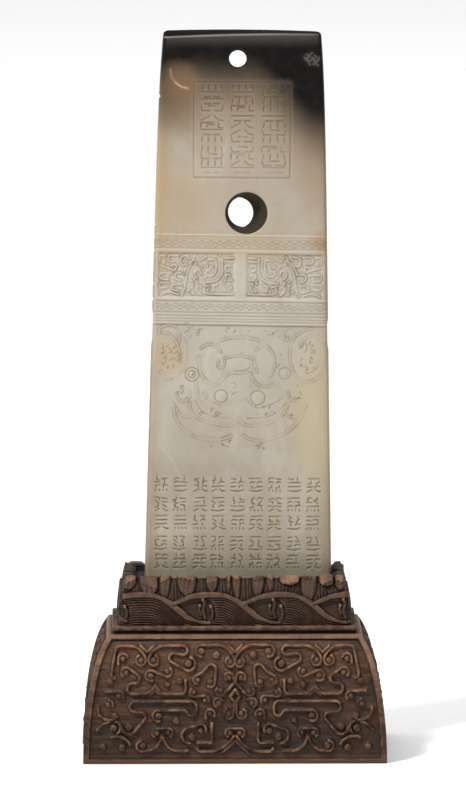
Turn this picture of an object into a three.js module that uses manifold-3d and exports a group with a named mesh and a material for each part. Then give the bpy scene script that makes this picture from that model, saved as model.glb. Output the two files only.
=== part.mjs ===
// A ritual jade tablet (gui) standing in its carved hardwood stand. Millimetres, +Z up, front towards -Y.
// The origin is the middle of the stand's underside. The tablet is one ground and pierced slab of jade with
// raised belts and a mask in low relief. The stand is one carved block: a domed base with scrollwork panels,
// a moulding, a collar of breaking waves and a crown of rocks around the slot that the tablet stands in.
import * as THREE from "three";
import { mergeVertices } from "three/addons/utils/BufferGeometryUtils.js";
import Module from "manifold-3d";

const wasm = await Module();
wasm.setup();
const DEGREE = Math.PI / 180;

// Base of the stand: a block whose four faces curve in towards the top.
const BASE_WIDTH = 135.2;
const BASE_DEPTH = 76;
const BASE_HEIGHT = 56.6;
const DOME_CUT_SHARE = 0.954;
const DOME_RISE = BASE_HEIGHT / DOME_CUT_SHARE;
const DOME_INSET_X = 16.4;
const DOME_INSET_Y = 13.6;
const DOME_LEVELS = 6;

// Sunk panels on the four faces of the base, inside a plain border.
const BORDER_SIDE = 2.6;
const BORDER_FOOT = 2.1;
const BORDER_TOP = 1.8;
const PANEL_SINK = 1.1;

// Moulding between base and collar: a groove under a flat rib.
const GROOVE_HEIGHT = 1.5;
const GROOVE_WIDTH = 107.4;
const RIB_HEIGHT = 1.9;
const RIB_WIDTH = 109.2;
const RIB_DEPTH = 53.4;
const GROOVE_CUT = (RIB_WIDTH - GROOVE_WIDTH) / 2;

// Collar of waves, and the rocks that crown it.
const COLLAR_WIDTH = 103.2;
const COLLAR_DEPTH = 46.4;
const COLLAR_HEIGHT = 20.4;
const COLLAR_LEAN = 3;
const COLLAR_CORNER = 1.4;
const CROWN_RISE = 2;
const CROWN_CHAMFER = 2.4;
const WELL_WALL = 4.6;
const WELL_DEPTH = 3.8;
const ROCK_PITCH = 8.4;
const PLAIN_ROCK_PITCH = 13;
const ROCK_PROUD = 1.1;

// The tablet: widest at its foot, where it is ground to a blunt edge, and narrowest at its head.
const TABLET_LENGTH = 259.6;
const TABLET_FOOT_WIDTH = 84;
const TABLET_TAPER = 11.4;
const TABLET_HEAD_ROUNDING = 3.2;
const TABLET_THICKNESS = 10.5;
const EDGE_THICKNESS = 6;
const FOOT_BEVEL = 7;
const FOOT_THICKNESS = 2.8;
const HEAD_DROP = 1.8;
const HEAD_CROWN = 0.9;
const TABLET_LEAN = 0.45 * DEGREE;
const TABLET_SHIFT = 1.7;
const BELT_RAISE = 0.5;

// Where the tablet stands: the slot is wider than its foot by a gap on each side.
const SLOT_DEPTH = 15;
const SLOT_GAP = 0.5;
const SLOT_FLOOR_GAP = 0.3;

// Heights on the tablet, from its foot.
const LOWER_BELT = [128.3, 141.1];
const UPPER_BELT = [160.3, 168];
const BORE_HEIGHT = 178.5;
const BORE_SHIFT = 2.1;
const BORE_RADIUS = 9.6;
const BORE_WAIST_RADIUS = 6.7;
const BORE_BACK_RADIUS = 7.6;
const BORE_MISS = 2.5;
const EYE_HEIGHT = 247.1;
const EYE_SHIFT = -1.7;
const EYE_RADIUS = 4.5;
const EYE_WAIST_RADIUS = 3.9;

// Levels that follow from the sizes above.
const RIB_TOP = BASE_HEIGHT + GROOVE_HEIGHT + RIB_HEIGHT;
const COLLAR_TOP = RIB_TOP + COLLAR_HEIGHT;
const CROWN_TOP = COLLAR_TOP + CROWN_RISE;
const WELL_FLOOR = CROWN_TOP - WELL_DEPTH;
const SLOT_FLOOR = WELL_FLOOR - SLOT_DEPTH;
const FOOT_DIP = (TABLET_FOOT_WIDTH / 2) * Math.sin(TABLET_LEAN);
const TABLET_BASE = SLOT_FLOOR + SLOT_FLOOR_GAP + FOOT_DIP;

// The carving is drawn in hundredths of its face's height, on a face of these widths to one of height.
const PANEL_RATIO = 2.389;
const TABLET_RATIO = 0.3236;

// Solids.

// A closed mesh as a solid with its faces pointing out.
function solidOf(geometry) {
  const merged = mergeVertices(new THREE.BufferGeometry()
    .setAttribute("position", geometry.getAttribute("position"))
    .setIndex(geometry.getIndex()), 1e-4);
  const triVerts = new Uint32Array(merged.index.array);
  const vertProperties = merged.attributes.position.array;
  const made = new wasm.Manifold(new wasm.Mesh({ numProp: 3, vertProperties, triVerts }));
  if (made.volume() > 0) return made;
  for (let i = 0; i < triVerts.length; i += 3) {
    [triVerts[i + 1], triVerts[i + 2]] = [triVerts[i + 2], triVerts[i + 1]];
  }
  return new wasm.Manifold(new wasm.Mesh({ numProp: 3, vertProperties, triVerts }));
}

// A solid whose skin joins loops of points, each loop with the same number of points.
function loft(loops) {
  const count = loops[0].length;
  const index = [];
  for (let level = 0; level + 1 < loops.length; level++) {
    for (let i = 0; i < count; i++) {
      const a = level * count + i;
      const b = level * count + (i + 1) % count;
      index.push(a, b, b + count, a, b + count, a + count);
    }
  }
  const last = (loops.length - 1) * count;
  for (const [start, turn] of [[0, false], [last, true]]) {
    const flat = loops[start / count].map((p) => new THREE.Vector3(...p));
    const axisX = widestSide(flat);
    const normal = newellNormal(flat);
    const axisY = new THREE.Vector3().crossVectors(normal, axisX);
    const outline = flat.map((p) => new THREE.Vector2(p.dot(axisX), p.dot(axisY)));
    for (const [a, b, c] of THREE.ShapeUtils.triangulateShape(outline, [])) {
      index.push(...(turn ? [start + a, start + b, start + c] : [start + a, start + c, start + b]));
    }
  }
  const geometry = new THREE.BufferGeometry();
  geometry.setAttribute("position", new THREE.Float32BufferAttribute(loops.flat(2), 3));
  geometry.setIndex(index);
  return solidOf(geometry);
}

function newellNormal(points) {
  const sum = new THREE.Vector3();
  points.forEach((p, i) => sum.add(new THREE.Vector3().crossVectors(p, points[(i + 1) % points.length])));
  return sum.normalize();
}

function widestSide(points) {
  let best = new THREE.Vector3();
  points.forEach((p, i) => {
    const side = new THREE.Vector3().subVectors(points[(i + 1) % points.length], p);
    if (side.length() > best.length()) best = side;
  });
  const normal = newellNormal(points);
  return best.addScaledVector(normal, -best.dot(normal)).normalize();
}

const rectangle = (halfX, halfY, z) => [
  [-halfX, -halfY, z], [halfX, -halfY, z], [halfX, halfY, z], [-halfX, halfY, z],
];

// A rectangle with its corners cut off.
const cutRectangle = (halfX, halfY, cut, z) => [
  [-halfX + cut, -halfY, z], [halfX - cut, -halfY, z], [halfX, -halfY + cut, z], [halfX, halfY - cut, z],
  [halfX - cut, halfY, z], [-halfX + cut, halfY, z], [-halfX, halfY - cut, z], [-halfX, -halfY + cut, z],
];

const union = (solids) => solids.reduce((all, one) => all.add(one));

// Carved lines and bosses.

// Points of a line wound round pegs [x, z, r]: a peg with r > 0 is passed turning left, with r < 0
// turning right, and with r = 0 through its point. The line leaves its first peg's circle at heading
// from and ends on the last one's at heading to, both in degrees.
function wind(from, pegs, to, step) {
  const headings = [];
  for (let i = 0; i + 1 < pegs.length; i++) {
    const [x1, z1, r1] = pegs[i];
    const [x2, z2, r2] = pegs[i + 1];
    const apart = Math.hypot(x2 - x1, z2 - z1);
    headings.push(Math.atan2(z2 - z1, x2 - x1) - Math.asin((r2 - r1) / apart));
  }
  const points = [];
  pegs.forEach(([x, z, r], i) => {
    if (!r) return points.push([x, z]);
    const start = i ? headings[i - 1] : from * DEGREE;
    const end = i < headings.length ? headings[i] : to * DEGREE;
    const turn = 2 * Math.PI;
    const sweep = Math.sign(r) * ((((end - start) * Math.sign(r)) % turn + turn) % turn);
    if (Math.abs(sweep) > 6.1) return points.push([x + r * Math.sin(start), z - r * Math.cos(start)]);
    const pieces = Math.max(1, Math.round(Math.abs(sweep * r) / step), Math.round(Math.abs(sweep) / 1.7));
    for (let k = 0; k <= pieces; k++) {
      const heading = start + (sweep * k) / pieces;
      points.push([x + r * Math.sin(heading), z - r * Math.cos(heading)]);
    }
  });
  return points.filter((p, i) => !i || Math.hypot(p[0] - points[i - 1][0], p[1] - points[i - 1][1]) > step / 10);
}

// A raised line with a roof-shaped section, from foot to crest along a face's outward direction.
function ridge(points, width, foot, crest, face) {
  const loops = points.map((p, i) => {
    const before = points[Math.max(0, i - 1)];
    const after = points[Math.min(points.length - 1, i + 1)];
    const length = Math.hypot(after[0] - before[0], after[1] - before[1]);
    const side = [-(after[1] - before[1]) / length, (after[0] - before[0]) / length];
    const at = (s, out) => face(p[0] + (side[0] * s * width) / 2, p[1] + (side[1] * s * width) / 2, out);
    return [at(-1, foot), at(1, foot), at(0, crest)];
  });
  return loft(loops);
}

// A raised round boss.
function boss(x, z, radius, foot, crest, face, sides = 5) {
  const ring = (r, out) => Array.from({ length: sides }, (_, i) => {
    const angle = (i * 2 * Math.PI) / sides;
    return face(x + r * Math.cos(angle), z + r * Math.sin(angle), out);
  });
  return loft([ring(radius * 1.1, foot), ring(radius * 0.6, crest)]);
}

const mirrored = (points) => points.map(([x, z]) => [-x, z]);

// The stand.

const domeInset = (z) => 1 - Math.sqrt(1 - (Math.min(z, BASE_HEIGHT) / DOME_RISE) ** 2);
const baseX = (z) => BASE_WIDTH / 2 - DOME_INSET_X * domeInset(z);
const baseY = (z) => BASE_DEPTH / 2 - DOME_INSET_Y * domeInset(z);
const collarShare = (z) => THREE.MathUtils.clamp((z - RIB_TOP) / COLLAR_HEIGHT, 0, 1);
const collarX = (z) => COLLAR_WIDTH / 2 - COLLAR_LEAN * collarShare(z) ** 2;
const collarY = (z) => COLLAR_DEPTH / 2 - COLLAR_LEAN * collarShare(z) ** 2;

// Each face takes a place across it, a height and a distance out of its surface.
const baseFaces = {
  front: (s, z, out) => [s, -baseY(z) - out, z],
  back: (s, z, out) => [-s, baseY(z) + out, z],
  right: (s, z, out) => [baseX(z) + out, s, z],
  left: (s, z, out) => [-baseX(z) - out, -s, z],
};
const collarFaces = {
  front: (s, z, out) => [s, -collarY(z) - out, z],
  back: (s, z, out) => [-s, collarY(z) + out, z],
  right: (s, z, out) => [collarX(z) + out, s, z],
  left: (s, z, out) => [-collarX(z) - out, -s, z],
};

function baseBlock() {
  const loops = [];
  for (let i = 0; i <= DOME_LEVELS; i++) {
    const z = BASE_HEIGHT * Math.sin((i / DOME_LEVELS) * 90 * DEGREE);
    loops.push(rectangle(baseX(z), baseY(z), z));
  }
  return loft(loops);
}

// What is cut away inside the border of one face.
function panelCutter(face, halfAcross) {
  const low = BORDER_FOOT;
  const high = BASE_HEIGHT - BORDER_TOP;
  const loops = [];
  for (let i = 0; i <= DOME_LEVELS - 1; i++) {
    const z = low + (high - low) * Math.sin((i / (DOME_LEVELS - 1)) * 90 * DEGREE);
    const half = halfAcross(z) - BORDER_SIDE;
    loops.push([face(-half, z, -PANEL_SINK), face(half, z, -PANEL_SINK), face(half, z, 3), face(-half, z, 3)]);
  }
  return loft(loops);
}

function moulding() {
  const grooveTop = BASE_HEIGHT + GROOVE_HEIGHT;
  const groove = loft([
    rectangle(RIB_WIDTH / 2 - GROOVE_CUT, RIB_DEPTH / 2 - GROOVE_CUT, BASE_HEIGHT - 1),
    rectangle(RIB_WIDTH / 2 - GROOVE_CUT, RIB_DEPTH / 2 - GROOVE_CUT, grooveTop + 0.5),
  ]);
  const rib = loft([
    rectangle(RIB_WIDTH / 2, RIB_DEPTH / 2, grooveTop),
    rectangle(RIB_WIDTH / 2, RIB_DEPTH / 2, RIB_TOP),
  ]);
  return groove.add(rib);
}

// The collar's block, with the chamfered rim of the crown.
function collarBlock() {
  const loops = [0, 0.4, 0.7, 1].map((share) => {
    const z = RIB_TOP - 0.6 + (COLLAR_HEIGHT + 0.6 - CROWN_CHAMFER) * share;
    return cutRectangle(collarX(z), collarY(z), COLLAR_CORNER, z);
  });
  const top = CROWN_TOP - 0.9;
  loops.push(cutRectangle(collarX(top) - CROWN_CHAMFER, collarY(top) - CROWN_CHAMFER, COLLAR_CORNER, top));
  return loft(loops);
}

// The scrollwork of a panel: the right half, drawn on pegs and mirrored. Lines are [from, pegs, to].
const CENTRE_LINES = [
  [80, [[14.5, 78.1, -14.5], [26.7, 88.2, -4.2]], 170],
  [-90, [[3.7, 79.7, 3.4]], 150],
  [210, [[19.4, 64.3, -3.5], [18.7, 74.2, -3.7], [27.9, 75.3, 3.9], [29.5, 66.1, -3.2]], -170],
  [0, [[0, 64.5, 0], [11.3, 57.2, 3.5]], 120],
  [-62, [[21.6, 32.5, 23], [25.8, 14.1, 4.6]], 60],
];
const CENTRE_BOSSES = [
  [26.7, 87.8, 2.5], [14.5, 85, 2.3], [19.6, 64.1, 1.9], [11.3, 57.1, 1.9], [4.9, 39.6, 2.1],
];
const FLANK_LINES = [
  [80, [[82.9, 78.8, -13.3], [89.9, 88.2, -3.9], [94.2, 70.3, -3]], -170],
  [100, [[54.9, 78.8, 13.3], [40.8, 88.7, 3.5], [48.4, 82.9, -3.4], [36.4, 78.3, -5.1]], 20],
  [120, [[23.7, 50.5, -3.2], [32.5, 56.2, 3.2]], 140],
  [-90, [[38.9, 65.4, 0], [42, 58.5, 3.4], [53.7, 63.4, 8.3], [62.7, 61.1, 0], [71.7, 63.4, 8.3],
    [80.6, 59.4, 4.1], [78.3, 67, -3.5], [85.5, 71.9, -3.7]], -130],
  [-130, [[53.4, 72.3, 3.5], [66.3, 69.4, -3.9]], 160],
  [-45, [[98.9, 43.5, 8.7]], 95],
  [-90, [[83.4, 29.2, -5.7], [74, 37.3, -3.5], [78.8, 45.2, 4.1], [34.6, 45.2, 4.2], [33.9, 41.3, 3.4],
    [40.1, 39.9, -2.5], [60.4, 38.2, -4.2]], 170],
  [110, [[27, 27.2, -4.1], [35.9, 22.4, -6]], -180],
  [-80, [[71, 23.5, 13.4], [73.1, 14.1, 4.1]], 170],
  [62, [[93.3, 9.9, -12]], -22],
];
const FLANK_BOSSES = [
  [36.4, 78.3, 2.7], [64, 80.9, 1.9], [98.2, 64.8, 3.4], [43.5, 64.8, 1.9], [66.4, 69.3, 2.1],
  [99.5, 47.2, 1.9], [95.4, 28.4, 2.3], [60.4, 38.2, 2.3], [83.4, 29.3, 3], [46.5, 34.3, 2.1],
  [34.3, 21.2, 3.4], [73, 14.5, 2.3], [88.7, 12.7, 2.7], [104.2, 13.4, 2.8],
];
const SCROLL_WIDTH = 1.05;
const SCROLL_STEP = 5;
const PLAIN_SCROLL_STEP = 8;
const SIDE_SPREAD = 1.6;
const SCROLL_SUNK = 0.35;

// Lines and bosses of the carving, on one face of the base, drawn for half the face and mirrored.
function scrollwork(face, lines, bosses, faceWidth, step) {
  const rise = BASE_HEIGHT / 100;
  const across = faceWidth / PANEL_RATIO / 100;
  const foot = -PANEL_SINK - SCROLL_SUNK;
  const made = [];
  for (const [from, pegs, to] of lines) {
    const drawn = wind(from, pegs, to, step / rise).map(([x, z]) => [x * across, z * rise]);
    for (const points of [drawn, mirrored(drawn)]) {
      made.push(ridge(points, SCROLL_WIDTH, foot, -0.15, face));
    }
  }
  for (const [x, z, radius] of bosses) {
    for (const side of [1, -1]) {
      made.push(boss(side * x * across, z * rise, radius * rise, foot, 0, face));
    }
  }
  return made;
}

// One breaking wave: its crest runs up from the trough, over and down, and turns up into a curl.
const WAVES_ACROSS = 3.3;
const WAVE_PITCH = COLLAR_WIDTH / WAVES_ACROSS;
const CREST_SHARE = 0.735;
const TROUGH_SHARE = 0.09;
const CREST_BACK_SHARE = 0.29;
const LINE_GAP_SHARE = 0.14;
const WAVE_FRONT = WAVE_PITCH * 0.46;
const WAVE_TAIL = WAVE_PITCH * 0.85;
const CREST_WIDTH = 2.2;
const WAVE_LINE_WIDTH = 1.3;

// Height of a wave's crest line above the collar's foot, at a distance from its highest point.
function crestHeight(t) {
  if (t < 0) return COLLAR_HEIGHT * (CREST_SHARE - CREST_BACK_SHARE * (t / WAVE_FRONT) ** 2);
  const swing = 0.5 + 0.5 * Math.cos((Math.PI * t) / WAVE_PITCH);
  return COLLAR_HEIGHT * (TROUGH_SHARE + (CREST_SHARE - TROUGH_SHARE) * swing);
}

function wave(centre, edge, face, rows) {
  const inside = (points) => points.filter(([x]) => Math.abs(x) < edge).map(([x, z]) => [x, RIB_TOP + z]);
  const made = [];
  const add = (points, width, out) => {
    const kept = inside(points);
    if (kept.length > 1) made.push(ridge(kept, width, -0.5, out, face));
  };
  const crest = [];
  const curl = COLLAR_HEIGHT * 0.18;
  for (let i = 0; i <= 6; i++) {
    const t = THREE.MathUtils.lerp(-WAVE_FRONT, WAVE_TAIL - curl, i / 6);
    crest.push([centre + t, crestHeight(t)]);
  }
  crest.push(...wind(-20, [[centre + WAVE_PITCH - curl, curl * 1.7, curl]], 100, 5));
  add(crest, CREST_WIDTH, 1.2);
  for (let row = 1; row <= rows; row++) {
    const line = [];
    for (let i = 0; i <= 3; i++) {
      const t = (WAVE_TAIL * i) / 3;
      const z = crestHeight(t) - row * LINE_GAP_SHARE * COLLAR_HEIGHT;
      if (z > WAVE_LINE_WIDTH / 2) line.push([centre + t, z]);
    }
    add(line, WAVE_LINE_WIDTH, 0.7);
  }
  for (const [x, share] of rows ? [[-3.1, 0.56], [-0.2, 0.4]] : []) {
    if (Math.abs(centre + x) < edge - 1) {
      made.push(boss(centre + x, RIB_TOP + share * COLLAR_HEIGHT, 1, -0.4, 1.3, face, 5));
    }
  }
  return made;
}

// The same value between 0 and 1 each time for the same number, so the rocks are uneven but fixed.
const uneven = (n) => {
  const value = Math.sin(n * 12.9898) * 43758.5453;
  return value - Math.floor(value);
};

// A row of rocks along one face of the crown, each a leaning block with a cut top.
function rocks(face, halfAcross, pitchWanted, seed) {
  const count = Math.max(1, Math.round((2 * halfAcross) / pitchWanted));
  const pitch = (2 * halfAcross) / count;
  const made = [];
  for (let i = 0; i < count; i++) {
    const centre = -halfAcross + pitch * (i + 0.5) + (uneven(seed + i) - 0.5) * 1.2;
    const half = pitch * (0.36 + 0.12 * uneven(seed + i + 40));
    const top = CROWN_TOP - 0.8 * uneven(seed + i + 80);
    const proud = ROCK_PROUD * (0.45 + 0.55 * uneven(seed + i + 120));
    const shoulder = top - 2.2 - 1.6 * uneven(seed + i + 160);
    const section = (share, z, out, back) => [
      face(centre - half * share, z, -back), face(centre + half * share, z, -back),
      face(centre + half * share * 0.7, z, out), face(centre - half * share * 0.7, z, out),
    ];
    made.push(loft([
      section(0.8, COLLAR_TOP - 8.5, 0, 3), section(1, shoulder, proud, 3.2), section(0.9, top, -1.9, 3.4),
    ]));
  }
  return made;
}

function well() {
  const halfX = COLLAR_WIDTH / 2 - COLLAR_LEAN - WELL_WALL;
  const halfY = COLLAR_DEPTH / 2 - COLLAR_LEAN - WELL_WALL;
  return loft([rectangle(halfX, halfY, WELL_FLOOR), rectangle(halfX, halfY, CROWN_TOP + 2)]);
}

function slot() {
  const halfX = TABLET_FOOT_WIDTH / 2 + SLOT_GAP;
  const halfY = TABLET_THICKNESS / 2 + SLOT_GAP;
  const at = (z) => rectangle(halfX, halfY, z).map(([x, y]) => [x + TABLET_SHIFT, y, z]);
  return loft([at(SLOT_FLOOR), at(CROWN_TOP + 2)]);
}

function stand() {
  let block = baseBlock();
  for (const name of ["front", "back"]) block = block.subtract(panelCutter(baseFaces[name], baseX));
  for (const name of ["left", "right"]) block = block.subtract(panelCutter(baseFaces[name], baseY));
  const carved = [block, moulding(), collarBlock()];
  carved.push(...scrollwork(baseFaces.front, [...CENTRE_LINES, ...FLANK_LINES],
    [...CENTRE_BOSSES, ...FLANK_BOSSES], BASE_WIDTH, SCROLL_STEP));
  carved.push(...scrollwork(baseFaces.back, [CENTRE_LINES[0], FLANK_LINES[0]], [CENTRE_BOSSES[0]],
    BASE_WIDTH, PLAIN_SCROLL_STEP));
  for (const name of ["left", "right"]) {
    carved.push(...scrollwork(baseFaces[name], [CENTRE_LINES[0]], [CENTRE_BOSSES[0]],
      BASE_DEPTH * SIDE_SPREAD, PLAIN_SCROLL_STEP));
  }
  for (const name of ["front", "back", "left", "right"]) {
    const main = name === "front";
    const long = main || name === "back";
    const edge = (long ? COLLAR_WIDTH : COLLAR_DEPTH) / 2;
    for (let centre = -0.4 * WAVE_PITCH - 2 * WAVE_PITCH; centre < edge + WAVE_FRONT; centre += WAVE_PITCH) {
      carved.push(...wave(centre, edge, collarFaces[name], main ? 2 : 0));
    }
    carved.push(...rocks(collarFaces[name], edge - COLLAR_LEAN, main ? ROCK_PITCH : PLAIN_ROCK_PITCH, edge));
  }
  return union(carved).subtract(well()).subtract(slot());
}

// The tablet.

const tabletHalf = (w) => TABLET_FOOT_WIDTH / 2
  - (TABLET_TAPER / 2) * (w / TABLET_LENGTH) - (TABLET_HEAD_ROUNDING / 2) * (w / TABLET_LENGTH) ** 12;

// Half the thickness at a height, before the edges are rounded.
function tabletThick(w) {
  if (w >= FOOT_BEVEL) return TABLET_THICKNESS / 2;
  return THREE.MathUtils.lerp(FOOT_THICKNESS / 2, TABLET_THICKNESS / 2, w / FOOT_BEVEL);
}

// Half a face's section at a height, from the rounded edge to the middle: [across, out].
function faceSection(w, pull = 0) {
  const half = tabletHalf(w) - pull;
  const thick = tabletThick(w);
  const edge = Math.min(EDGE_THICKNESS / 2, thick * 0.6);
  return [[half, edge], [half - 1.4, thick * 0.84], [half - 10, thick * 0.98], [0, thick]];
}

// One loop of the tablet's skin: flat faces that fall away to a rounded edge.
function tabletLoop(w, raise, heightAt = () => w, pull = 0) {
  const across = faceSection(w, pull).map(([x, y], i) => [x, i ? y + raise : y]);
  const frontLeft = across.map(([x, y]) => [-x, -y]);
  const frontRight = across.slice(0, -1).reverse().map(([x, y]) => [x, -y]);
  const front = [...frontLeft, ...frontRight];
  const back = front.map(([x, y]) => [-x, -y]);
  return [...front, ...back].map(([x, y]) => [x, y, heightAt(x, y)]);
}

// The head: crowned in the middle, its front edge worn lower towards the left.
function headHeight(x, y) {
  const share = x / (TABLET_FOOT_WIDTH / 2);
  const worn = y < 0 ? HEAD_DROP * THREE.MathUtils.clamp(0.5 - share * 0.6, 0, 1) : 0;
  return TABLET_LENGTH - HEAD_CROWN * share ** 2 - worn;
}

function tabletBlank() {
  const step = 0.4;
  const loops = [tabletLoop(0, 0), tabletLoop(FOOT_BEVEL, 0), tabletLoop(LOWER_BELT[0] / 2, 0)];
  for (const [low, high] of [LOWER_BELT, UPPER_BELT]) {
    loops.push(tabletLoop(low - step, 0), tabletLoop(low, BELT_RAISE));
    loops.push(tabletLoop(high, BELT_RAISE), tabletLoop(high + step, 0));
  }
  for (const share of [0.8, 0.89, 0.94]) loops.push(tabletLoop(TABLET_LENGTH * share, 0));
  loops.push(tabletLoop(TABLET_LENGTH - 3, 0), tabletLoop(TABLET_LENGTH, -0.4, headHeight, 0.4));
  return loft(loops);
}

// A bore that narrows from the front and was met from the back a little off its line.
function bore(x, w, stations, sides = 24) {
  const loops = stations.map(([depth, radius, shift]) => Array.from({ length: sides }, (_, i) => {
    const angle = (i * 2 * Math.PI) / sides;
    return [x + shift + radius * Math.cos(angle), depth - TABLET_THICKNESS / 2, w + radius * Math.sin(angle)];
  }));
  return loft(loops);
}

function bores() {
  const meet = TABLET_THICKNESS * 0.62;
  const past = 2;
  const flare = (BORE_RADIUS - BORE_WAIST_RADIUS) / meet;
  const front = bore(BORE_SHIFT, BORE_HEIGHT, [
    [-past, BORE_RADIUS + flare * past, 0.3], [meet, BORE_WAIST_RADIUS, -1],
  ]);
  const back = bore(BORE_SHIFT - 1, BORE_HEIGHT - 0.5, [
    [meet - 0.6, BORE_WAIST_RADIUS + 0.2, -BORE_MISS], [TABLET_THICKNESS + past, BORE_BACK_RADIUS, -BORE_MISS],
  ]);
  const eye = bore(EYE_SHIFT, EYE_HEIGHT, [
    [-past, EYE_RADIUS + 0.3, 0], [TABLET_THICKNESS / 2, EYE_WAIST_RADIUS, -0.2],
    [TABLET_THICKNESS + past, EYE_RADIUS + 0.3, -0.2],
  ], 16);
  return union([front, back, eye]);
}

// The mask in low relief: right half, in millimetres from the tablet's middle line and foot.
const MASK_LINES = [
  [105, [[11.63, 44.38, 3.04]], 50],
  [80, [[11.67, 46.22, -1.39]], -60],
  [-80, [[11.63, 42.53, 1.5]], 100],
  [0, [[0, 47.53, 0], [2.47, 43.37, -3.93], [5.39, 41.06, -0.92]], -120],
  [0, [[0, 43.84, 0], [2.7, 43.68, 0], [3.31, 41.22, 0.85], [4.85, 40.14, 1.31]], 60],
  [0, [[7.97, 41.06, 1.16]], 330],
  [-50, [[3.78, 38.37, 3]], 48],
  [-100, [[9.78, 37.44, 1.16]], 140],
  [-90, [[7.09, 39.68, 0], [6.39, 37.13, -0.69]], 80],
  [-75, [[5.78, 35.59, -5.86], [1.69, 30.82, -0.92]], 20],
  [-65, [[4.39, 36.13, -4.08], [1, 33.13, -1.08]], 60],
  [-30, [[1.31, 28.89, 0], [4.01, 28.66, 0]], 0],
];
const MASK_BOSSES = [[7.97, 41.06, 0.42], [3.2, 36.98, 0.85], [11.25, 45.53, 0.46]];
const MASK_WIDTH = 1.2;
const MASK_STEP = 6;
const MASK_RAISE = 0.45;

// A place on the tablet's front, at a distance out of its surface.
function tabletFace(x, w, out) {
  const section = faceSection(w);
  const place = Math.min(Math.abs(x), section[0][0]);
  const outer = section.findLastIndex(([across]) => across >= place);
  const [x1, y1] = section[outer];
  const [x2, y2] = section[Math.min(outer + 1, section.length - 1)];
  const y = x1 === x2 ? y1 : THREE.MathUtils.mapLinear(place, x1, x2, y1, y2);
  return [Math.sign(x) * place, -y - out, w];
}

function mask() {
  const up = TABLET_LENGTH / 100;
  const across = TABLET_FOOT_WIDTH / TABLET_RATIO / 100;
  const made = [];
  for (const [from, pegs, to] of MASK_LINES) {
    const drawn = wind(from, pegs, to, MASK_STEP / up).map(([x, w]) => [x * across, w * up]);
    for (const points of [drawn, mirrored(drawn)]) {
      made.push(ridge(points, MASK_WIDTH, -0.6, MASK_RAISE, tabletFace));
    }
  }
  for (const [x, w, radius] of MASK_BOSSES) {
    for (const side of [1, -1]) {
      made.push(boss(side * x * across, w * up, radius * up, -0.6, MASK_RAISE, tabletFace, 6));
    }
  }
  return union(made);
}

// The object.

function meshOf(name, made, material) {
  const { vertProperties, triVerts } = made.getMesh();
  const geometry = new THREE.BufferGeometry();
  geometry.setAttribute("position", new THREE.BufferAttribute(vertProperties, 3));
  geometry.setIndex(new THREE.BufferAttribute(triVerts, 1));
  const flat = geometry.toNonIndexed();
  flat.computeVertexNormals();
  const mesh = new THREE.Mesh(flat, material);
  mesh.name = name;
  return mesh;
}

const jade = new THREE.MeshStandardMaterial({ color: 0xbcb19d, roughness: 0.35, metalness: 0 });
const hardwood = new THREE.MeshStandardMaterial({ color: 0x5a4032, roughness: 0.5, metalness: 0 });

const tablet = new THREE.Group();
tablet.position.set(TABLET_SHIFT, 0, TABLET_BASE);
tablet.rotation.y = TABLET_LEAN;
tablet.add(meshOf("jade_gui", tabletBlank().add(mask()).subtract(bores()), jade));

const object = new THREE.Group();
object.add(meshOf("wood_stand", stand(), hardwood), tablet);

export default object;
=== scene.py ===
"""A jade gui in its carved hardwood stand. Shapes are worked out in millimetres."""

import math

import bmesh
import bpy
import numpy as np
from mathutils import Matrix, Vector


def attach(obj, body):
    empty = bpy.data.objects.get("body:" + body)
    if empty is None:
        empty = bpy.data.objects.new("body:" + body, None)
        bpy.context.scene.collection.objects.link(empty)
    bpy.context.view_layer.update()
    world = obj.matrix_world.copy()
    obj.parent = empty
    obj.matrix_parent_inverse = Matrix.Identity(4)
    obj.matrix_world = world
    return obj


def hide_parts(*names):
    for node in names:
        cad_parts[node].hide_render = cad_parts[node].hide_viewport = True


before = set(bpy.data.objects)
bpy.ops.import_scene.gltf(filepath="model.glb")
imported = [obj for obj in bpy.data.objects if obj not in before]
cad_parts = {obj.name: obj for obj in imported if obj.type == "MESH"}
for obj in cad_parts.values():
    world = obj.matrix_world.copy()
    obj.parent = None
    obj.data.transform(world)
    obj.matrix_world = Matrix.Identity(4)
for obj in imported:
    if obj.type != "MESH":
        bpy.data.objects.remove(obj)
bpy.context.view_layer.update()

MM = 0.001
COARSE = 1.0
MOST_TRIANGLES = 190000
SHARP_ANGLE = math.radians(50)

# Sizes shared with the solids.
BASE_WIDTH, BASE_DEPTH, BASE_HEIGHT = 135.2, 76.0, 56.6
DOME_RISE = BASE_HEIGHT / 0.954
DOME_INSET_X, DOME_INSET_Y = 16.4, 13.6
BORDER_SIDE, BORDER_FOOT, BORDER_TOP, PANEL_SINK = 2.6, 2.1, 1.8, 1.1
GROOVE_HEIGHT, GROOVE_CUT = 1.5, 0.9
RIB_HEIGHT, RIB_WIDTH, RIB_DEPTH = 1.9, 109.2, 53.4
COLLAR_WIDTH, COLLAR_DEPTH, COLLAR_HEIGHT, COLLAR_LEAN = 103.2, 46.4, 20.4, 3.0
CROWN_RISE, WELL_WALL, WELL_DEPTH = 2.0, 4.6, 3.8
RIB_TOP = BASE_HEIGHT + GROOVE_HEIGHT + RIB_HEIGHT
CROWN_TOP = RIB_TOP + COLLAR_HEIGHT + CROWN_RISE
WELL_FLOOR = CROWN_TOP - WELL_DEPTH
SLOT_DEPTH, SLOT_GAP = 15.0, 0.5
SLOT_FLOOR = WELL_FLOOR - SLOT_DEPTH

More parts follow.
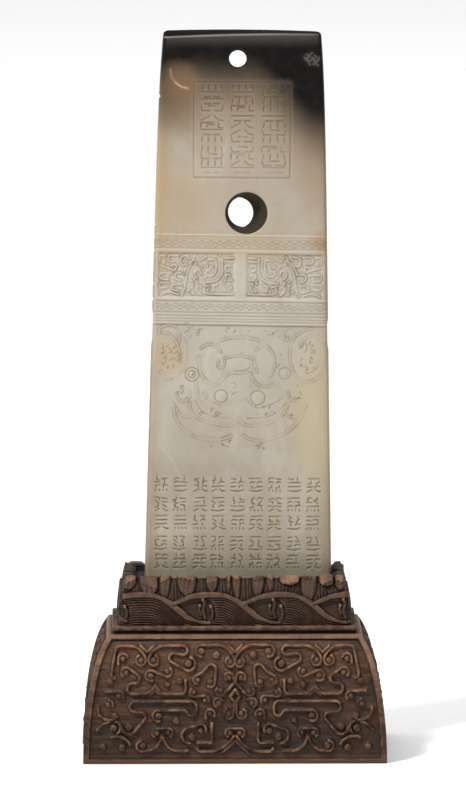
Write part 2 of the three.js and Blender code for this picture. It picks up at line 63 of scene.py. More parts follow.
TABLET_LENGTH, TABLET_FOOT_WIDTH, TABLET_TAPER = 259.6, 84.0, 11.4
TABLET_THICKNESS, TABLET_EDGE = 10.5, 6.0
FOOT_BEVEL, FOOT_THICKNESS = 7.0, 2.8
HEAD_DROP, HEAD_CROWN, HEAD_ROUNDING = 1.8, 0.9, 3.2
TABLET_LEAN, TABLET_SHIFT = math.radians(0.45), 1.7
TABLET_BASE = SLOT_FLOOR + 0.3 + TABLET_FOOT_WIDTH / 2 * math.sin(TABLET_LEAN)
LOWER_BELT = (128.3, 141.0)
UPPER_BELT = (160.3, 168.4)
BELT_SLOPE, BELT_PROUD = 0.0105, 0.5
EDGE_ROUNDING, EDGE_STEPS = 1.6, np.array([0, 0.1, 0.4, 0.9])
HEAD_SOFT = 1.4


def srgb(red, green, blue):
    """A colour read in 0 to 255, as the shader takes it."""
    def linear(value):
        share = value / 255
        return share / 12.92 if share < 0.04045 else ((share + 0.055) / 1.055) ** 2.4
    return (linear(red), linear(green), linear(blue), 1.0)


def step_up(value, low, high):
    """0 below low, 1 above high and a soft rise between them."""
    share = np.clip((value - low) / (high - low), 0, 1)
    return share * share * (3 - 2 * share)


def band(value, low, high, soft=0.3):
    """1 between low and high with soft ends."""
    return step_up(value, low - soft, low + soft) * (1 - step_up(value, high - soft, high + soft))


# Carving on a face.

class Relief:
    """The carving over one face: heights in millimetres and inked strokes, on an even grid."""

    def __init__(self, x_low, x_high, z_low, z_high, step):
        self.step = step
        self.low = (x_low, z_low)
        self.xs, self.zs = np.meshgrid(
            np.arange(x_low, x_high + step, step), np.arange(z_low, z_high + step, step))
        self.height = np.zeros_like(self.xs)
        self.cuts = np.zeros_like(self.xs)
        self.ink = np.zeros_like(self.xs)
        self.pale = np.zeros_like(self.xs)

    def near(self, points, reach):
        """The part of the grid within reach of a line of points, with each place's distance from it."""
        flat = np.array(points, float)
        low = np.floor((flat.min(axis=0) - reach - self.low) / self.step).astype(int)
        high = np.ceil((flat.max(axis=0) + reach - self.low) / self.step).astype(int) + 1
        part = (slice(max(low[1], 0), max(high[1], 0)), slice(max(low[0], 0), max(high[0], 0)))
        xs, zs = self.xs[part], self.zs[part]
        away = np.full(xs.shape, 1e3)
        for (x1, z1), (x2, z2) in zip(points, points[1:] or points):
            run, rise = x2 - x1, z2 - z1
            share = np.clip(((xs - x1) * run + (zs - z1) * rise) / (run * run + rise * rise + 1e-9), 0, 1)
            away = np.minimum(away, np.hypot(xs - x1 - share * run, zs - z1 - share * rise))
        return part, away

    def raise_line(self, points, width, rise, ground=0.0, flat=0.5, shade=0.0):
        """A rounded ridge that stands on the ground, with a line of painted shade along its foot, kept with
        the ink.
        """
        part, away = self.near(points, width)
        lift = np.clip(1 - (2 * away / width) ** 2, 0, None) ** flat
        self.height[part] = np.maximum(self.height[part], ground + rise * lift - 1e3 * (lift <= 0))
        # Painted shade along the ridge's foot, stored in the ink.
        if shade:
            foot = shade * np.clip(1 - (np.abs(away - width * 0.62) / 0.35) ** 2, 0, 1)
            self.ink[part] = np.maximum(self.ink[part], foot) * (1 - 0.8 * lift)

    def paint_line(self, points, width, pale):
        """Rubs a line pale."""
        part, away = self.near(points, width)
        self.pale[part] = np.maximum(self.pale[part], pale * np.clip(1.4 - 2.4 * away / width, 0, 1))

    def raise_boss(self, x, z, radius, rise, ground=0.0):
        """A round boss with a domed top."""
        self.raise_line([(x, z)], 2 * radius, rise, ground)

    def cut_line(self, points, width, depth, ink=0.0):
        """An incised line, and how much colour lies in it."""
        part, away = self.near(points, width)
        share = np.clip(1.25 - (2 * away / width) ** 2 * 1.25, 0, 1)
        self.cuts[part] = np.maximum(self.cuts[part], depth * share)
        self.ink[part] = np.maximum(self.ink[part], ink * share)

    def cut_across(self, level, half, width, depth, ink=0.0):
        """A level incised line, so long to each side of the middle."""
        self.cut_line([(-half, level), (half, level)], width, depth, ink)

    def wear_away(self, seed, least, size):
        """How much of lines and colour is left, in uneven patches of about the given size."""
        draw = np.random.default_rng(seed)
        cells = draw.random((int(np.ptp(self.zs) / size) + 3, int(np.ptp(self.xs) / size) + 3))
        rows = (self.zs - self.zs.min()) / size
        cols = (self.xs - self.xs.min()) / size
        row, col = rows.astype(int), cols.astype(int)
        left = blended(cells, row, col, step_up(rows - row, 0, 1), step_up(cols - col, 0, 1))
        return least + (1 - least) * step_up(left, 0.25, 0.7)

    def finish(self, wear, reach):
        """Takes the cuts away, softens all by so many passes and works out hollows and high places."""
        self.height = softened(self.height - self.cuts, wear)
        around = softened(self.height, round(reach / self.step) ** 2)
        self.hollow = np.clip(around - self.height, 0, None)
        self.proud = np.clip(self.height - around, 0, None)

    def at(self, values, x, z):
        """The values at places between the grid's own."""
        across = np.clip((x - self.low[0]) / self.step, 0, values.shape[1] - 1.001)
        up = np.clip((z - self.low[1]) / self.step, 0, values.shape[0] - 1.001)
        row, col = up.astype(int), across.astype(int)
        return blended(values, row, col, up - row, across - col)


def blended(values, row, col, up, across):
    """The value between four neighbours, so far up and across from the first one."""
    low = values[row, col] * (1 - across) + values[row, col + 1] * across
    high = values[row + 1, col] * (1 - across) + values[row + 1, col + 1] * across
    return low * (1 - up) + high * up


def softened(values, passes):
    """Values averaged with their neighbours, so many times."""
    for _ in range(passes):
        wide = np.pad(values, 1, mode="edge")
        values = (wide[:-2, 1:-1] + wide[2:, 1:-1] + wide[1:-1, :-2] + wide[1:-1, 2:] + 2 * values) / 6
    return values


def wind(start, pegs, end):
    """Points of a line wound round pegs (x, z, r): left of it for r > 0 and right of it for r < 0."""
    headings = []
    for (x1, z1, r1), (x2, z2, r2) in zip(pegs, pegs[1:]):
        headings.append(math.atan2(z2 - z1, x2 - x1) - math.asin((r2 - r1) / math.hypot(x2 - x1, z2 - z1)))
    points = []
    for i, (x, z, r) in enumerate(pegs):
        if not r:
            points.append((x, z))
            continue
        first = headings[i - 1] if i else math.radians(start)
        last = headings[i] if i < len(headings) else math.radians(end)
        sweep = math.copysign(((last - first) * math.copysign(1, r)) % math.tau, r)
        if abs(sweep) > 6.1:
            sweep = 0.0
        pieces = max(1, round(abs(sweep * r) / 0.5))
        for k in range(pieces + 1):
            heading = first + sweep * k / pieces
            points.append((x + r * math.sin(heading), z - r * math.cos(heading)))
    return points


def smooth_line(points, pieces=6):
    """A smooth line through a few points."""
    places = [Vector(p) for p in (points[0], *points, points[-1])]
    line = []
    for a, b, c, d in zip(places, places[1:], places[2:], places[3:]):
        for k in range(pieces):
            t = k / pieces
            line.append(tuple(0.5 * (2 * b + (c - a) * t + (2 * a - 5 * b + 4 * c - d) * t * t
                                     + (3 * b - a - 3 * c + d) * t ** 3)))
    return line + [tuple(places[-1])]


def mirrored(points):
    """The same line on the other side of the middle."""
    return [(-x, z) for x, z in points]


# Closed meshes wrapped from one sheet.

def wrapped_sheet(name, places):
    """A closed mesh from rows of places round the piece: the rows' ends meet, and its two last rows close."""
    rows, cols = places.shape[:2]
    mesh = bpy.data.meshes.new(name)
    bm = bmesh.new()
    bmesh.ops.create_grid(bm, x_segments=cols - 1, y_segments=rows - 1, size=1)
    bm.to_mesh(mesh)
    bm.free()
    mesh.vertices.foreach_set("co", (places * MM).astype(np.float32).ravel())
    bm = bmesh.new()
    bm.from_mesh(mesh)
    rim = [v for v in bm.verts if v.is_boundary]
    bmesh.ops.remove_doubles(bm, verts=rim, dist=2e-7)
    return mesh, bm


def thinned(name, mesh, bm):
    """The piece's object, thinned where it is flat to the most triangles that a piece may have."""
    bmesh.ops.triangulate(bm, faces=bm.faces)
    bmesh.ops.recalc_face_normals(bm, faces=bm.faces)
    count = len(bm.faces)
    bm.to_mesh(mesh)
    bm.free()
    piece = bpy.data.objects.new(name, mesh)
    bpy.context.scene.collection.objects.link(piece)
    if count > MOST_TRIANGLES:
        thin = piece.modifiers.new("thinned", "DECIMATE")
        thin.ratio = MOST_TRIANGLES / count
        graph = bpy.context.evaluated_depsgraph_get()
        piece.data = bpy.data.meshes.new_from_object(piece.evaluated_get(graph))
        piece.modifiers.clear()
    piece.data.polygons.foreach_set("use_smooth", np.ones(len(piece.data.polygons), bool))
    piece.data.set_sharp_from_angle(angle=SHARP_ANGLE)
    return piece


def places_of(piece):
    """The piece's vertices in millimetres."""
    flat = np.empty(len(piece.data.vertices) * 3, np.float32)
    piece.data.vertices.foreach_get("co", flat)
    return flat.reshape(-1, 3).astype(float) / MM


def set_values(piece, name, values):
    """A value on every vertex, for the material to read."""
    made = piece.data.attributes.new(name, "FLOAT", "POINT")
    made.data.foreach_set("value", np.asarray(values, np.float32))


# The jade.

# The large bore and the small one over it: height, shift to the right and how far round it is inside.
BORE_HEIGHT, BORE_SHIFT, BORE_REACH = 178.5, 2.1, 13
EYE_HEIGHT, EYE_SHIFT, EYE_REACH = 247.1, -1.7, 6
# Rings down each bore from its face: depth, radius and shift to the right.
BORE_FRONT = ((0.0, 9.8, 0.3), (0.12, 9.5, 0.3), (0.4, 9.3, 0.3), (3.2, 8.1, -0.3), (6.2, 6.75, -1.0))
BORE_BACK = ((0.0, 8.1, -3.5), (0.12, 7.8, -3.5), (0.4, 7.6, -3.5), (4.0, 6.9, -3.5))
EYE_FRONT = ((0.0, 4.65, 0.0), (0.12, 4.4, 0.0), (0.4, 4.25, 0.0), (5.0, 3.9, -0.2))
EYE_BACK = ((0.0, 4.75, -0.2), (0.12, 4.5, -0.2), (0.4, 4.3, -0.2), (4.6, 3.95, -0.2))
BACK_DROP = -0.5
# What lies this far out in depth belongs to a face, and how much its hollows and high places are stressed.
FACE_DEPTH, CARVED_DEPTH = 3.4, 2.5
CARVING_GAIN = 5
# Worn places of the slab's left edge: height, reach up and down, and depth. The right edge has one.
EDGE_CHIPS = (
    (229.9, 0.9, 0.5), (172.6, 0.9, 0.3), (167.2, 0.8, 0.35), (161.0, 0.9, 0.25), (146.2, 0.9, 0.25),
    (139.2, 1.0, 0.3), (127.0, 9.0, 0.4),
)
RIGHT_WEAR_HEIGHT, RIGHT_WEAR_DEPTH = 124, 0.4
# Pale scuffs near the head's right corner: where each starts, and how far it goes across and up.
JADE_SCUFFS = (
    (27.4, 248.2, 0.9, -1.3), (28.2, 249.4, 1.7, -0.5), (28.5, 247.6, 1.2, 0.9), (29.6, 248.9, -0.8, -2.4),
    (30.2, 249.6, 0.9, 0.6), (30.6, 248.2, 1.3, -0.9), (30.9, 246.9, -1.7, -0.8), (31.6, 247.8, 0.4, -2.1),
    (32.0, 249.0, 1.1, -1.0), (32.4, 246.4, 1.6, 0.4), (32.9, 245.6, 0.9, -1.1), (33.6, 247.2, 0.6, 1.2),
    (29.4, 245.6, 0.8, -0.9), (31.2, 245.0, 1.2, 0.2),
)

# The mask: thin raised outlines, then incised lines.
MASK_LINES = (
    ((36.3, 106.2), (33.5, 103.9), (30.1, 103.0), (26.1, 104.4), (23.2, 109.6), (22.3, 116.5), (23.7, 121.9),
     (27.1, 125.4), (31.6, 126.9), (36.2, 124.9), (37.9, 120.6)),
    ((34.8, 122.2), (34.2, 123.7), (31.6, 123.8), (28.8, 122.3), (27.0, 119.7)),
    ((34.9, 112.5), (34.3, 110.2), (32.6, 108.5), (30.0, 107.3)),
    ((-35.5, 107.4), (-33.2, 104.5), (-30.4, 103.7)),
    ((-36.2, 123.5), (-35.7, 126.4), (-32.3, 127.8), (-28.8, 127.3), (-27.1, 124.1), (-27.1, 120.1)),
    ((-34.5, 124.6), (-31.7, 124.1), (-28.8, 121.2), (-27.0, 116.6), (-26.7, 112.0)),
    ((-24.0, 128.5), (-22.0, 126.5), (-22.2, 123.6), (-24.0, 122.7), (-24.1, 121.0)),
    ((22.2, 127.7), (20.2, 126.2), (19.4, 123.9), (20.0, 121.9), (21.1, 121.7), (21.3, 123.1)),
    ((-12.2, 119.6), (-8.8, 121.4), (-4.3, 122.5), (0.8, 122.8), (4.8, 122.4), (8.8, 121.2), (12.9, 118.4),
     (15.5, 114.1)),
    ((-18.2, 114.1), (-18.1, 109.8), (-17.0, 105.8), (-14.4, 102.9), (-11.0, 101.4), (-7.6, 103.9),
     (-4.7, 106.8)),
    ((-17.4, 117.9), (-14.5, 119.6), (-11.1, 119.1), (-8.5, 116.2)),
    ((6.5, 112.3), (6.9, 115.8), (8.3, 118.1), (10.9, 119.0), (13.7, 117.0), (15.5, 113.0), (15.2, 108.4),
     (13.5, 105.5)),
    ((5.0, 106.8), (6.1, 103.7), (9.0, 101.1), (12.4, 100.9), (14.7, 102.0)),
    ((-6.8, 113.5), (-3.6, 114.2), (-0.2, 114.4), (3.2, 114.0), (6.6, 113.0)),
    ((-6.9, 113.1), (-6.8, 110.8), (-7.6, 109.2), (-9.2, 109.3), (-9.9, 110.7), (-9.3, 112.3)),
    ((6.3, 112.6), (6.8, 110.0), (7.8, 107.1)),
    ((-4.7, 106.6), (-1.9, 107.1), (0.4, 106.7), (2.7, 107.2), (5.1, 106.3)),
    ((-19.4, 103.2), (-19.5, 100.6), (-18.6, 97.7), (-18.0, 95.2), (-16.3, 94.9), (-15.0, 96.3),
     (-15.5, 97.8)),
    ((-27.9, 97.7), (-27.4, 95.4), (-25.4, 93.9), (-23.2, 94.8), (-22.2, 96.8), (-22.8, 98.3)),
    ((21.6, 98.1), (22.4, 95.8), (24.7, 94.3), (27.3, 94.9), (28.1, 96.4)),
    ((-29.4, 93.0), (-29.0, 88.5), (-27.1, 83.9), (-23.9, 80.4), (-19.3, 77.9), (-14.2, 76.6), (-8.5, 76.7),
     (-3.6, 78.3)),
    ((1.8, 78.6), (4.6, 77.1), (9.2, 76.3), (14.3, 77.3), (19.4, 79.3), (24.0, 82.5), (27.1, 86.6),
     (29.6, 92.1)),
    ((-22.3, 93.4), (-21.7, 89.7), (-19.4, 86.8), (-14.2, 84.5), (-8.5, 83.3), (-4.0, 83.2), (-1.4, 84.6),
     (-0.3, 86.4), (1.4, 84.0), (5.2, 83.1), (10.3, 83.6), (15.4, 85.3), (19.1, 88.0), (21.9, 93.2)),
    ((-28.6, 91.3), (-26.8, 88.2), (-24.0, 86.9), (-21.1, 87.9)),
    ((20.5, 88.3), (23.9, 86.9), (26.5, 88.6), (29.3, 92.4)),
)
MASK_CUTS = (
    ((27.8, 118.2), (28.5, 120.0), (30.0, 119.4), (29.7, 116.8), (28.6, 116.5)),
    ((26.9, 112.5), (27.9, 110.2), (29.5, 109.9)),
    ((31.4, 117.7), (32.8, 116.8), (33.7, 115.4)),
    ((-29.2, 115.2), (-27.9, 116.1), (-26.6, 114.8), (-26.7, 112.9), (-28.1, 112.3), (-29.2, 113.5)),
    ((-34.7, 117.7), (-33.3, 116.6), (-32.7, 114.3), (-33.3, 111.4), (-34.4, 110.8)),
    ((-31.9, 117.8), (-30.6, 117.2), (-30.7, 115.8)),
    ((-21.4, 127.9), (-19.7, 125.9), (-17.7, 126.5), (-13.2, 126.8)),
    ((17.1, 126.2), (15.1, 125.0), (10.5, 126.1)),
    ((-6.6, 113.0), (-3.6, 113.6), (-0.2, 113.8), (3.2, 113.5), (6.4, 112.5)),
    ((-6.4, 112.6), (-6.3, 110.8), (-7.2, 108.6), (-9.3, 108.7), (-10.4, 110.7)),
    ((5.9, 112.2), (6.3, 110.0), (7.3, 107.1)),
    ((-3.5, 109.1), (-1.9, 108.1), (0.1, 107.7), (2.4, 108.1), (4.4, 109.3)),
    ((-26.6, 100.5), (-25.9, 98.3), (-24.3, 97.4)),
    ((-12.0, 93.8), (-9.7, 92.5), (-7.5, 92.2), (-4.6, 93.0)),
    ((3.1, 95.3), (5.1, 92.7), (8.2, 91.3), (11.9, 91.9), (15.6, 93.4), (19.3, 95.7)),
    ((-16.5, 78.5), (-12.5, 77.8), (-7.4, 77.8), (-3.8, 79.6)),
    ((-19.5, 94.0), (-17.7, 90.6), (-14.3, 88.0), (-9.7, 86.7), (-4.0, 86.3)),
    ((3.4, 86.4), (9.1, 86.6), (14.2, 87.8), (17.9, 90.0), (20.5, 93.2)),
    ((-13.1, 73.2), (-11.9, 74.1), (-8.5, 74.2), (-4.5, 73.6)),
    ((-11.6, 75.6), (-10.8, 76.6), (-9.6, 76.2), (-9.7, 75.1)),
    ((11.4, 72.7), (9.2, 73.8), (5.2, 74.0), (1.2, 73.4)),
    ((7.8, 75.2), (8.4, 74.4), (10.1, 74.5), (11.2, 75.3)),
    ((-3.8, 102.2), (-2.1, 102.5), (-1.7, 100.7), (-2.8, 100.0)),
    ((-4.4, 98.4), (-3.4, 97.6), (-4.1, 95.5)),
)
# The mask's eyes and studs: middle, radius of the ring and radius of the boss in it.
MASK_RINGS = (
    (-21.3, 106.1, 3.1, 1.5), (20.1, 106.7, 2.6, 1.0), (-8.2, 96.2, 2.9, 2.5), (8.2, 95.6, 3.2, 2.8),
)
# Patches of small incised flecks: middle, half width and half height, and how many.
MASK_FLECKS = (
    (30.4, 114.5, 4, 6, 12), (-31.5, 114.5, 3.5, 5.5, 12), (-25, 98.5, 2.6, 3.5, 6),
    (24.6, 98, 2.6, 3, 5), (-12, 89, 6, 2, 8), (11, 90, 6, 2, 7), (18.5, 113.5, 2.5, 4.5, 5),
    (-21.3, 106.2, 1.2, 1.2, 2), (-17, 125.5, 5, 1.4, 5), (17, 124.5, 5, 1.4, 4), (0, 126, 7, 1, 4),
    (-3, 97, 1.4, 3, 3), (-8, 75, 4.5, 1.2, 4), (7, 74, 5, 1.2, 4), (-23, 124.5, 2, 2.5, 3),
    (22.5, 88.5, 3, 1.6, 4),
)
# The large hooks of the right field between the belts. The left field has them mirrored.
HOOKS = (
    ((3.1, 158.4), (7.1, 158.2)), ((3.1, 156.8), (7.3, 156.7)),
    ((8.1, 158.2), (8.1, 152.4), (9.5, 149.2), (12.1, 147.7), (16.9, 147.0)),
    ((14.3, 157.3), (11.1, 157.3), (11.0, 152.4), (12.9, 150.1), (15.2, 150.7), (15.2, 152.4), (13.7, 152.5)),
    ((15.4, 159.0), (18.0, 157.1), (19.4, 159.1)),
    ((17.7, 150.7), (18.0, 152.5), (20.0, 152.5), (20.5, 150.5), (19.2, 148.9)),
    ((4.3, 154.6), (6.5, 154.8), (6.7, 153.1), (5.1, 152.2)),
    ((4.5, 150.6), (6.7, 150.8), (6.3, 149.0)), ((3.4, 148.5), (7.4, 148.3)),
    ((3.0, 142.2), (13.2, 142.1), (16.1, 143.1), (15.6, 145.1)),
    ((10.2, 146.1), (12.1, 145.7), (11.7, 143.7)), ((13.9, 145.4), (16.2, 146.1)),
    ((20.2, 159.4), (21.7, 155.9), (23.4, 152.5), (24.3, 148.5), (24.9, 144.5), (26.1, 141.0)),
    ((22.0, 156.5), (24.0, 154.2), (25.3, 150.8)),
    ((23.1, 159.1), (25.8, 158.7), (26.9, 156.5), (25.6, 154.8), (24.0, 155.5)),
    ((27.5, 159.0), (31.6, 159.0), (32.1, 156.6), (29.7, 156.2)),
    ((30.8, 154.0), (29.7, 155.1), (28.4, 154.0), (29.6, 152.4), (31.1, 153.0), (35.5, 154.3)),
    ((26.3, 151.3), (29.0, 150.9), (28.7, 148.5), (26.3, 148.0)),
    ((30.4, 150.9), (35.5, 151.0), (35.5, 148.6), (32.1, 148.1)),
    ((26.3, 146.1), (29.7, 145.9), (30.3, 143.9), (27.6, 143.3)),
    ((31.9, 146.8), (35.9, 146.6), (35.5, 144.4), (32.6, 144.8)),
    ((27.6, 141.5), (31.8, 142.8), (35.6, 141.2)), ((33.4, 158.8), (35.9, 158.8), (36.1, 156.0)),
    ((17.5, 145.0), (18.9, 145.6), (19.8, 144.1), (18.7, 142.7), (17.5, 141.5)),
)
# The mask's ears and cheeks: middle, half width, half height, rise and where the fall starts.
MASK_OVALS = (
    (30.4, 115.2, 7.6, 11.4, 0.22, 0.8), (-31.0, 115.2, 7.6, 11.4, 0.22, 0.8),
    (-11.4, 110.6, 4.6, 8.4, 0.3, 0.5), (10.8, 110.6, 4.8, 8.6, 0.3, 0.5),
)
MASK_TOP = 127.9
# The lower inscription's places and the size of its signs, and the upper one's columns and frame.
TEXT_COLUMNS = (-34.6, -26.3, -17.4, -9.2, -0.6, 7.7, 16.0, 24.6, 33.4)
TEXT_ROWS = (56.5, 47.6, 39.4, 30.0, 21.7)
TEXT_SIZE = 6.3
SEAL_COLUMNS = ((-18.6, -7.8), (-5.2, 5.9), (8.6, 20.3))
SEAL_LEFT, SEAL_RIGHT, SEAL_LOW, SEAL_HIGH = -21.3, 21.6, 194.4, 237.0
# Heights on the belts: strips of small scrolls, ridges, grooves, and all lines of the back.
BELT_STRIPS = ((162.9, 166.3), (134.5, 138.4))
BELT_RIDGES = (161.6, 139.7)
BELT_GROOVES = (133.6, 132.3, 131.0, 129.7)
BACK_GROOVES = (161.6, 167.7, 163.0, 139.7, 134.5, 133.2, 130.5)
CRACK = ((-31.9, 242.6), (-31.4, 239.5), (-29.6, 236.6), (-26.8, 234.7), (-24.0, 234.0))
# Line weights of ridges (width, rise, ground, roundness and shade) and of cuts (width, depth and ink).
HOOK_RIDGE = (0.78, 0.46, 0.0, 0.35, 0.8)
SMALL_HOOK_RIDGE = (0.66, 0.36, 0.0, 0.35, 0.75)
BELT_RIDGE = (1.2, 0.26, BELT_PROUD)
MASK_RIDGE = (0.8, 0.26, 0.0, 0.7, 0.55)
MASK_CUT = (0.5, 0.24, 0.5)
STRIP_CUT = (0.5, 0.24, 0.25)
BELT_CUT = (0.5, 0.24, 0.3)
BELT_FOOT_CUT = (0.6, 0.15, 0.35)
BELT_GROOVE_CUT = (0.65, 0.34, 0.2)
BACK_CUT = (0.8, 0.25)
TEXT_CUT = (0.62, 0.3, 1.0)
SEAL_CUT = (0.55, 0.26, 0.7)
FRAME_CUT = (0.5, 0.24, 0.6)
# The slab's carving: its grid from left to right and up, and how many places each row has.
SLAB_GRID = (-44, 44, 0, 262)
SLAB_COLUMNS = 200


def either_side(draw):
    return 1 if draw.random() < 0.5 else -1


def small_mark(draw, x, z, wide, high):
    """One mark of a sign: a tick, a bar, a hook or a bow, leaning one way or the other."""
    kind = draw.integers(0, 6)
    side = either_side(draw)
    w, h = wide / 2 * draw.uniform(0.75, 1.0), high / 2 * draw.uniform(0.75, 1.0)
    if kind == 0:
        return [(x - side * w * 0.7, z + h), (x + side * w * 0.5, z - h)]
    if kind == 1:
        return [(x - w, z + side * 0.15), (x + w, z - side * 0.1)]
    if kind == 2:
        return [(x - side * w * 0.3, z + h), (x - side * w * 0.3, z - h * 0.6), (x + side * w, z - h)]
    if kind == 3:
        return [(x - side * w, z + h * 0.7), (x + side * w * 0.6, z + h * 0.7), (x + side * w * 0.6, z - h)]
    if kind == 4:
        return [(x - w, z - h * 0.5), (x - w * 0.3, z + h * 0.7), (x + w, z + h * 0.2)]
    return [(x + side * w * 0.2, z + h), (x + side * w * 0.2, z - h)]


def small_sign(draw, x, z, size):
    """A cell of the lower inscription: loose strokes that don't cross and spell nothing."""
    row = size / 4
    if draw.random() < 0.55:
        left = draw.uniform(0.3, 0.5) * size
        yield [(x - left, z + row * 1.75), (x + draw.uniform(0.3, 0.5) * size, z + row * 1.85)]
    else:
        yield small_mark(draw, x - size * 0.26, z + row * 1.6, size * 0.42, row)
        yield small_mark(draw, x + size * 0.24, z + row * 1.6, size * 0.42, row)
    for level in (0.6, -0.55):
        if draw.random() < 0.22:
            yield [(x - size * 0.42, z + row * level), (x + size * 0.4, z + row * level + 0.15)]
            continue
        for side in (-1, 1):
            yield small_mark(draw, x + side * size * 0.26, z + row * level, size * 0.42, row * 0.95)
    kind = draw.integers(0, 3)
    low = z - row * 1.6
    if kind == 0:
        yield [(x - size * 0.12, low + row * 0.3), (x - size * 0.45, low - row * 0.4)]
        yield [(x + size * 0.12, low + row * 0.3), (x + size * 0.3, low - row * 0.25),
               (x + size * 0.48, low - row * 0.2)]
    elif kind == 1:
        for k in (-1.5, -0.5, 0.5, 1.5):
            yield [(x + k * size * 0.24, low + row * 0.2), (x + k * size * 0.27, low - row * 0.25)]
    else:
        yield [(x - size * 0.46, low - row * 0.1), (x + size * 0.1, low - row * 0.3),
               (x + size * 0.46, low + row * 0.1)]


def tall_sign(draw, x, z, wide, high):
    """A cell of the upper inscription: even parallel strokes, bent square, that spell nothing."""
    w = wide * 0.45
    levels = np.linspace(z + high * 0.5, z - high * 0.5, 5)
    row = high * 0.25
    for level in levels[:-1]:
        kind = draw.integers(0, 5)
        low = level - row * 0.72
        if kind == 0:
            yield [(x - w, level), (x + w, level)]
            yield [(x - w * 0.75, low), (x - 0.5, low)]
            yield [(x + 0.6, low), (x + w * 0.7, low)]
        elif kind == 1:
            yield [(x - w, low), (x - w, level), (x + w * 0.2, level)]
            yield [(x - w * 0.45, low), (x - w * 0.45, level - 0.9), (x + w * 0.2, level - 0.9)]
            yield [(x + w * 0.6, level), (x + w * 0.6, low), (x + w, low)]
        elif kind == 2:
            yield [(x - w, level), (x - w * 0.9, low), (x - w * 0.2, low)]
            yield [(x + w, level), (x + w * 0.9, low), (x + w * 0.2, low)]
            yield [(x - w * 0.35, level), (x + w * 0.45, level - 0.2)]
        elif kind == 3:
            for part in (-0.85, -0.3, 0.3, 0.85):
                yield [(x + part * w, level), (x + part * w * 1.1, low)]
        else:
            yield [(x - w * 0.2, level), (x - w, low)]
            yield [(x + w * 0.2, level), (x + w * 0.55, low + 0.5), (x + w, low)]


def fill_hooks(relief, low, high):
    """Small hooks in the places of a field that the large ones leave empty, the same on both sides."""
    draw = np.random.default_rng(7)
    for z in np.arange(low + 1.0, high - 0.5, 1.55):
        for x in np.arange(4.0, 36.0, 1.75):
            x1, z1 = x + draw.uniform(-0.45, 0.45), z + draw.uniform(-0.3, 0.3)
            turn, side = draw.uniform(0, 360), either_side(draw)
            around = [(x1 + math.cos(k), z1 + math.sin(k)) for k in range(7)]
            spots = np.array(around + [(x1, z1)])
            if relief.at(relief.height, spots[:, 0], spots[:, 1]).max() > 0.12:
                continue
            hook = wind(turn, [(x1, z1, 0.55 * side)], turn + side * draw.uniform(120, 250))
            end = hook[-1]
            hook.append((end[0] + draw.uniform(-0.7, 0.7), end[1] + draw.uniform(-0.7, 0.7)))
            for line in (hook, mirrored(hook)):
                relief.raise_line(line, *SMALL_HOOK_RIDGE)


def carve_strip(relief, low, high):
    """A narrow strip of small running scrolls between two fine lines."""
    middle = (low + high) / 2
    for edge in (low - 0.35, high + 0.35):
        relief.cut_across(edge, 38.5, *STRIP_CUT)
    for k in range(-19, 20):
        x = k * 1.95
        turn = 1 if k % 2 else -1
        pegs = [(x, middle + 0.5 * turn, 0.75 * turn), (x + 1.0, middle - 0.2 * turn, 0)]
        relief.cut_line(wind(90 * turn, pegs, 0), 0.45, 0.22, 0.4)
        relief.cut_line([(x - 0.8, middle - 1.15 * turn), (x + 0.4, middle - 0.75 * turn)], 0.42, 0.2, 0.35)
        relief.cut_line([(x - 0.2, middle + 1.4 * turn), (x + 0.9, middle + 1.3 * turn)], 0.42, 0.18, 0.3)


def carve_belts(relief):
    """The two raised belts with fine scrolls, and the sunk fields of hooks between them."""
    xs, zs = relief.xs, relief.zs
    fields = band(zs, LOWER_BELT[1], UPPER_BELT[0], 0.35) * np.maximum(
        band(xs, -36.4, -2.8, 0.7), band(xs, 2.8, 36.4, 0.7))
    relief.height += BELT_PROUD * band(zs, LOWER_BELT[0], UPPER_BELT[1] + 0.8, 0.25) * (1 - fields)
    for points in HOOKS:
        for line in (points, mirrored(points)):
            relief.raise_line(smooth_line(line, 4), *HOOK_RIDGE)
    fill_hooks(relief, LOWER_BELT[1], UPPER_BELT[0])
    relief.ink *= relief.wear_away(17, 0.3, 3.0)
    for left, right in ((3.0, 36.0), (-36.0, -3.0)):
        for level, ink in ((UPPER_BELT[0] - 0.15, 0.5), (LOWER_BELT[1] + 0.15, 0.25)):
            relief.cut_line([(left, level), (right, level)], 0.5, 0.2, ink)
    for low, high in BELT_STRIPS:
        carve_strip(relief, low, high)
    relief.cut_across(167.7, 40, *BELT_CUT)
    relief.cut_across(169.1, 40, *BELT_CUT)
    relief.cut_across(128.1, 40, *BELT_FOOT_CUT)
    for level in BELT_RIDGES:
        relief.raise_line([(-40, level), (40, level)], *BELT_RIDGE)
    for level in BELT_GROOVES:
        relief.cut_across(level, 39.5, *BELT_GROOVE_CUT)


def carve_mask_lines(relief):
    """The mask's outlines, with incised lines beside them, worn away in places below the belts."""
    wear = relief.wear_away(3, 0.25, 3.4)
    ground_ink, ground_cuts = relief.ink.copy(), relief.cuts.copy()
    for points in MASK_LINES:
        relief.raise_line(smooth_line(points), *MASK_RIDGE)
    for points in MASK_CUTS:
        relief.cut_line(smooth_line(points), *MASK_CUT)
    below = relief.zs < MASK_TOP
    relief.height = np.where(below, relief.height * (0.35 + 0.65 * wear), relief.height)
    relief.ink = np.where(below, ground_ink + (relief.ink - ground_ink) * wear, relief.ink)
    relief.cuts = np.where(below, ground_cuts + (relief.cuts - ground_cuts) * (0.5 + 0.5 * wear), relief.cuts)


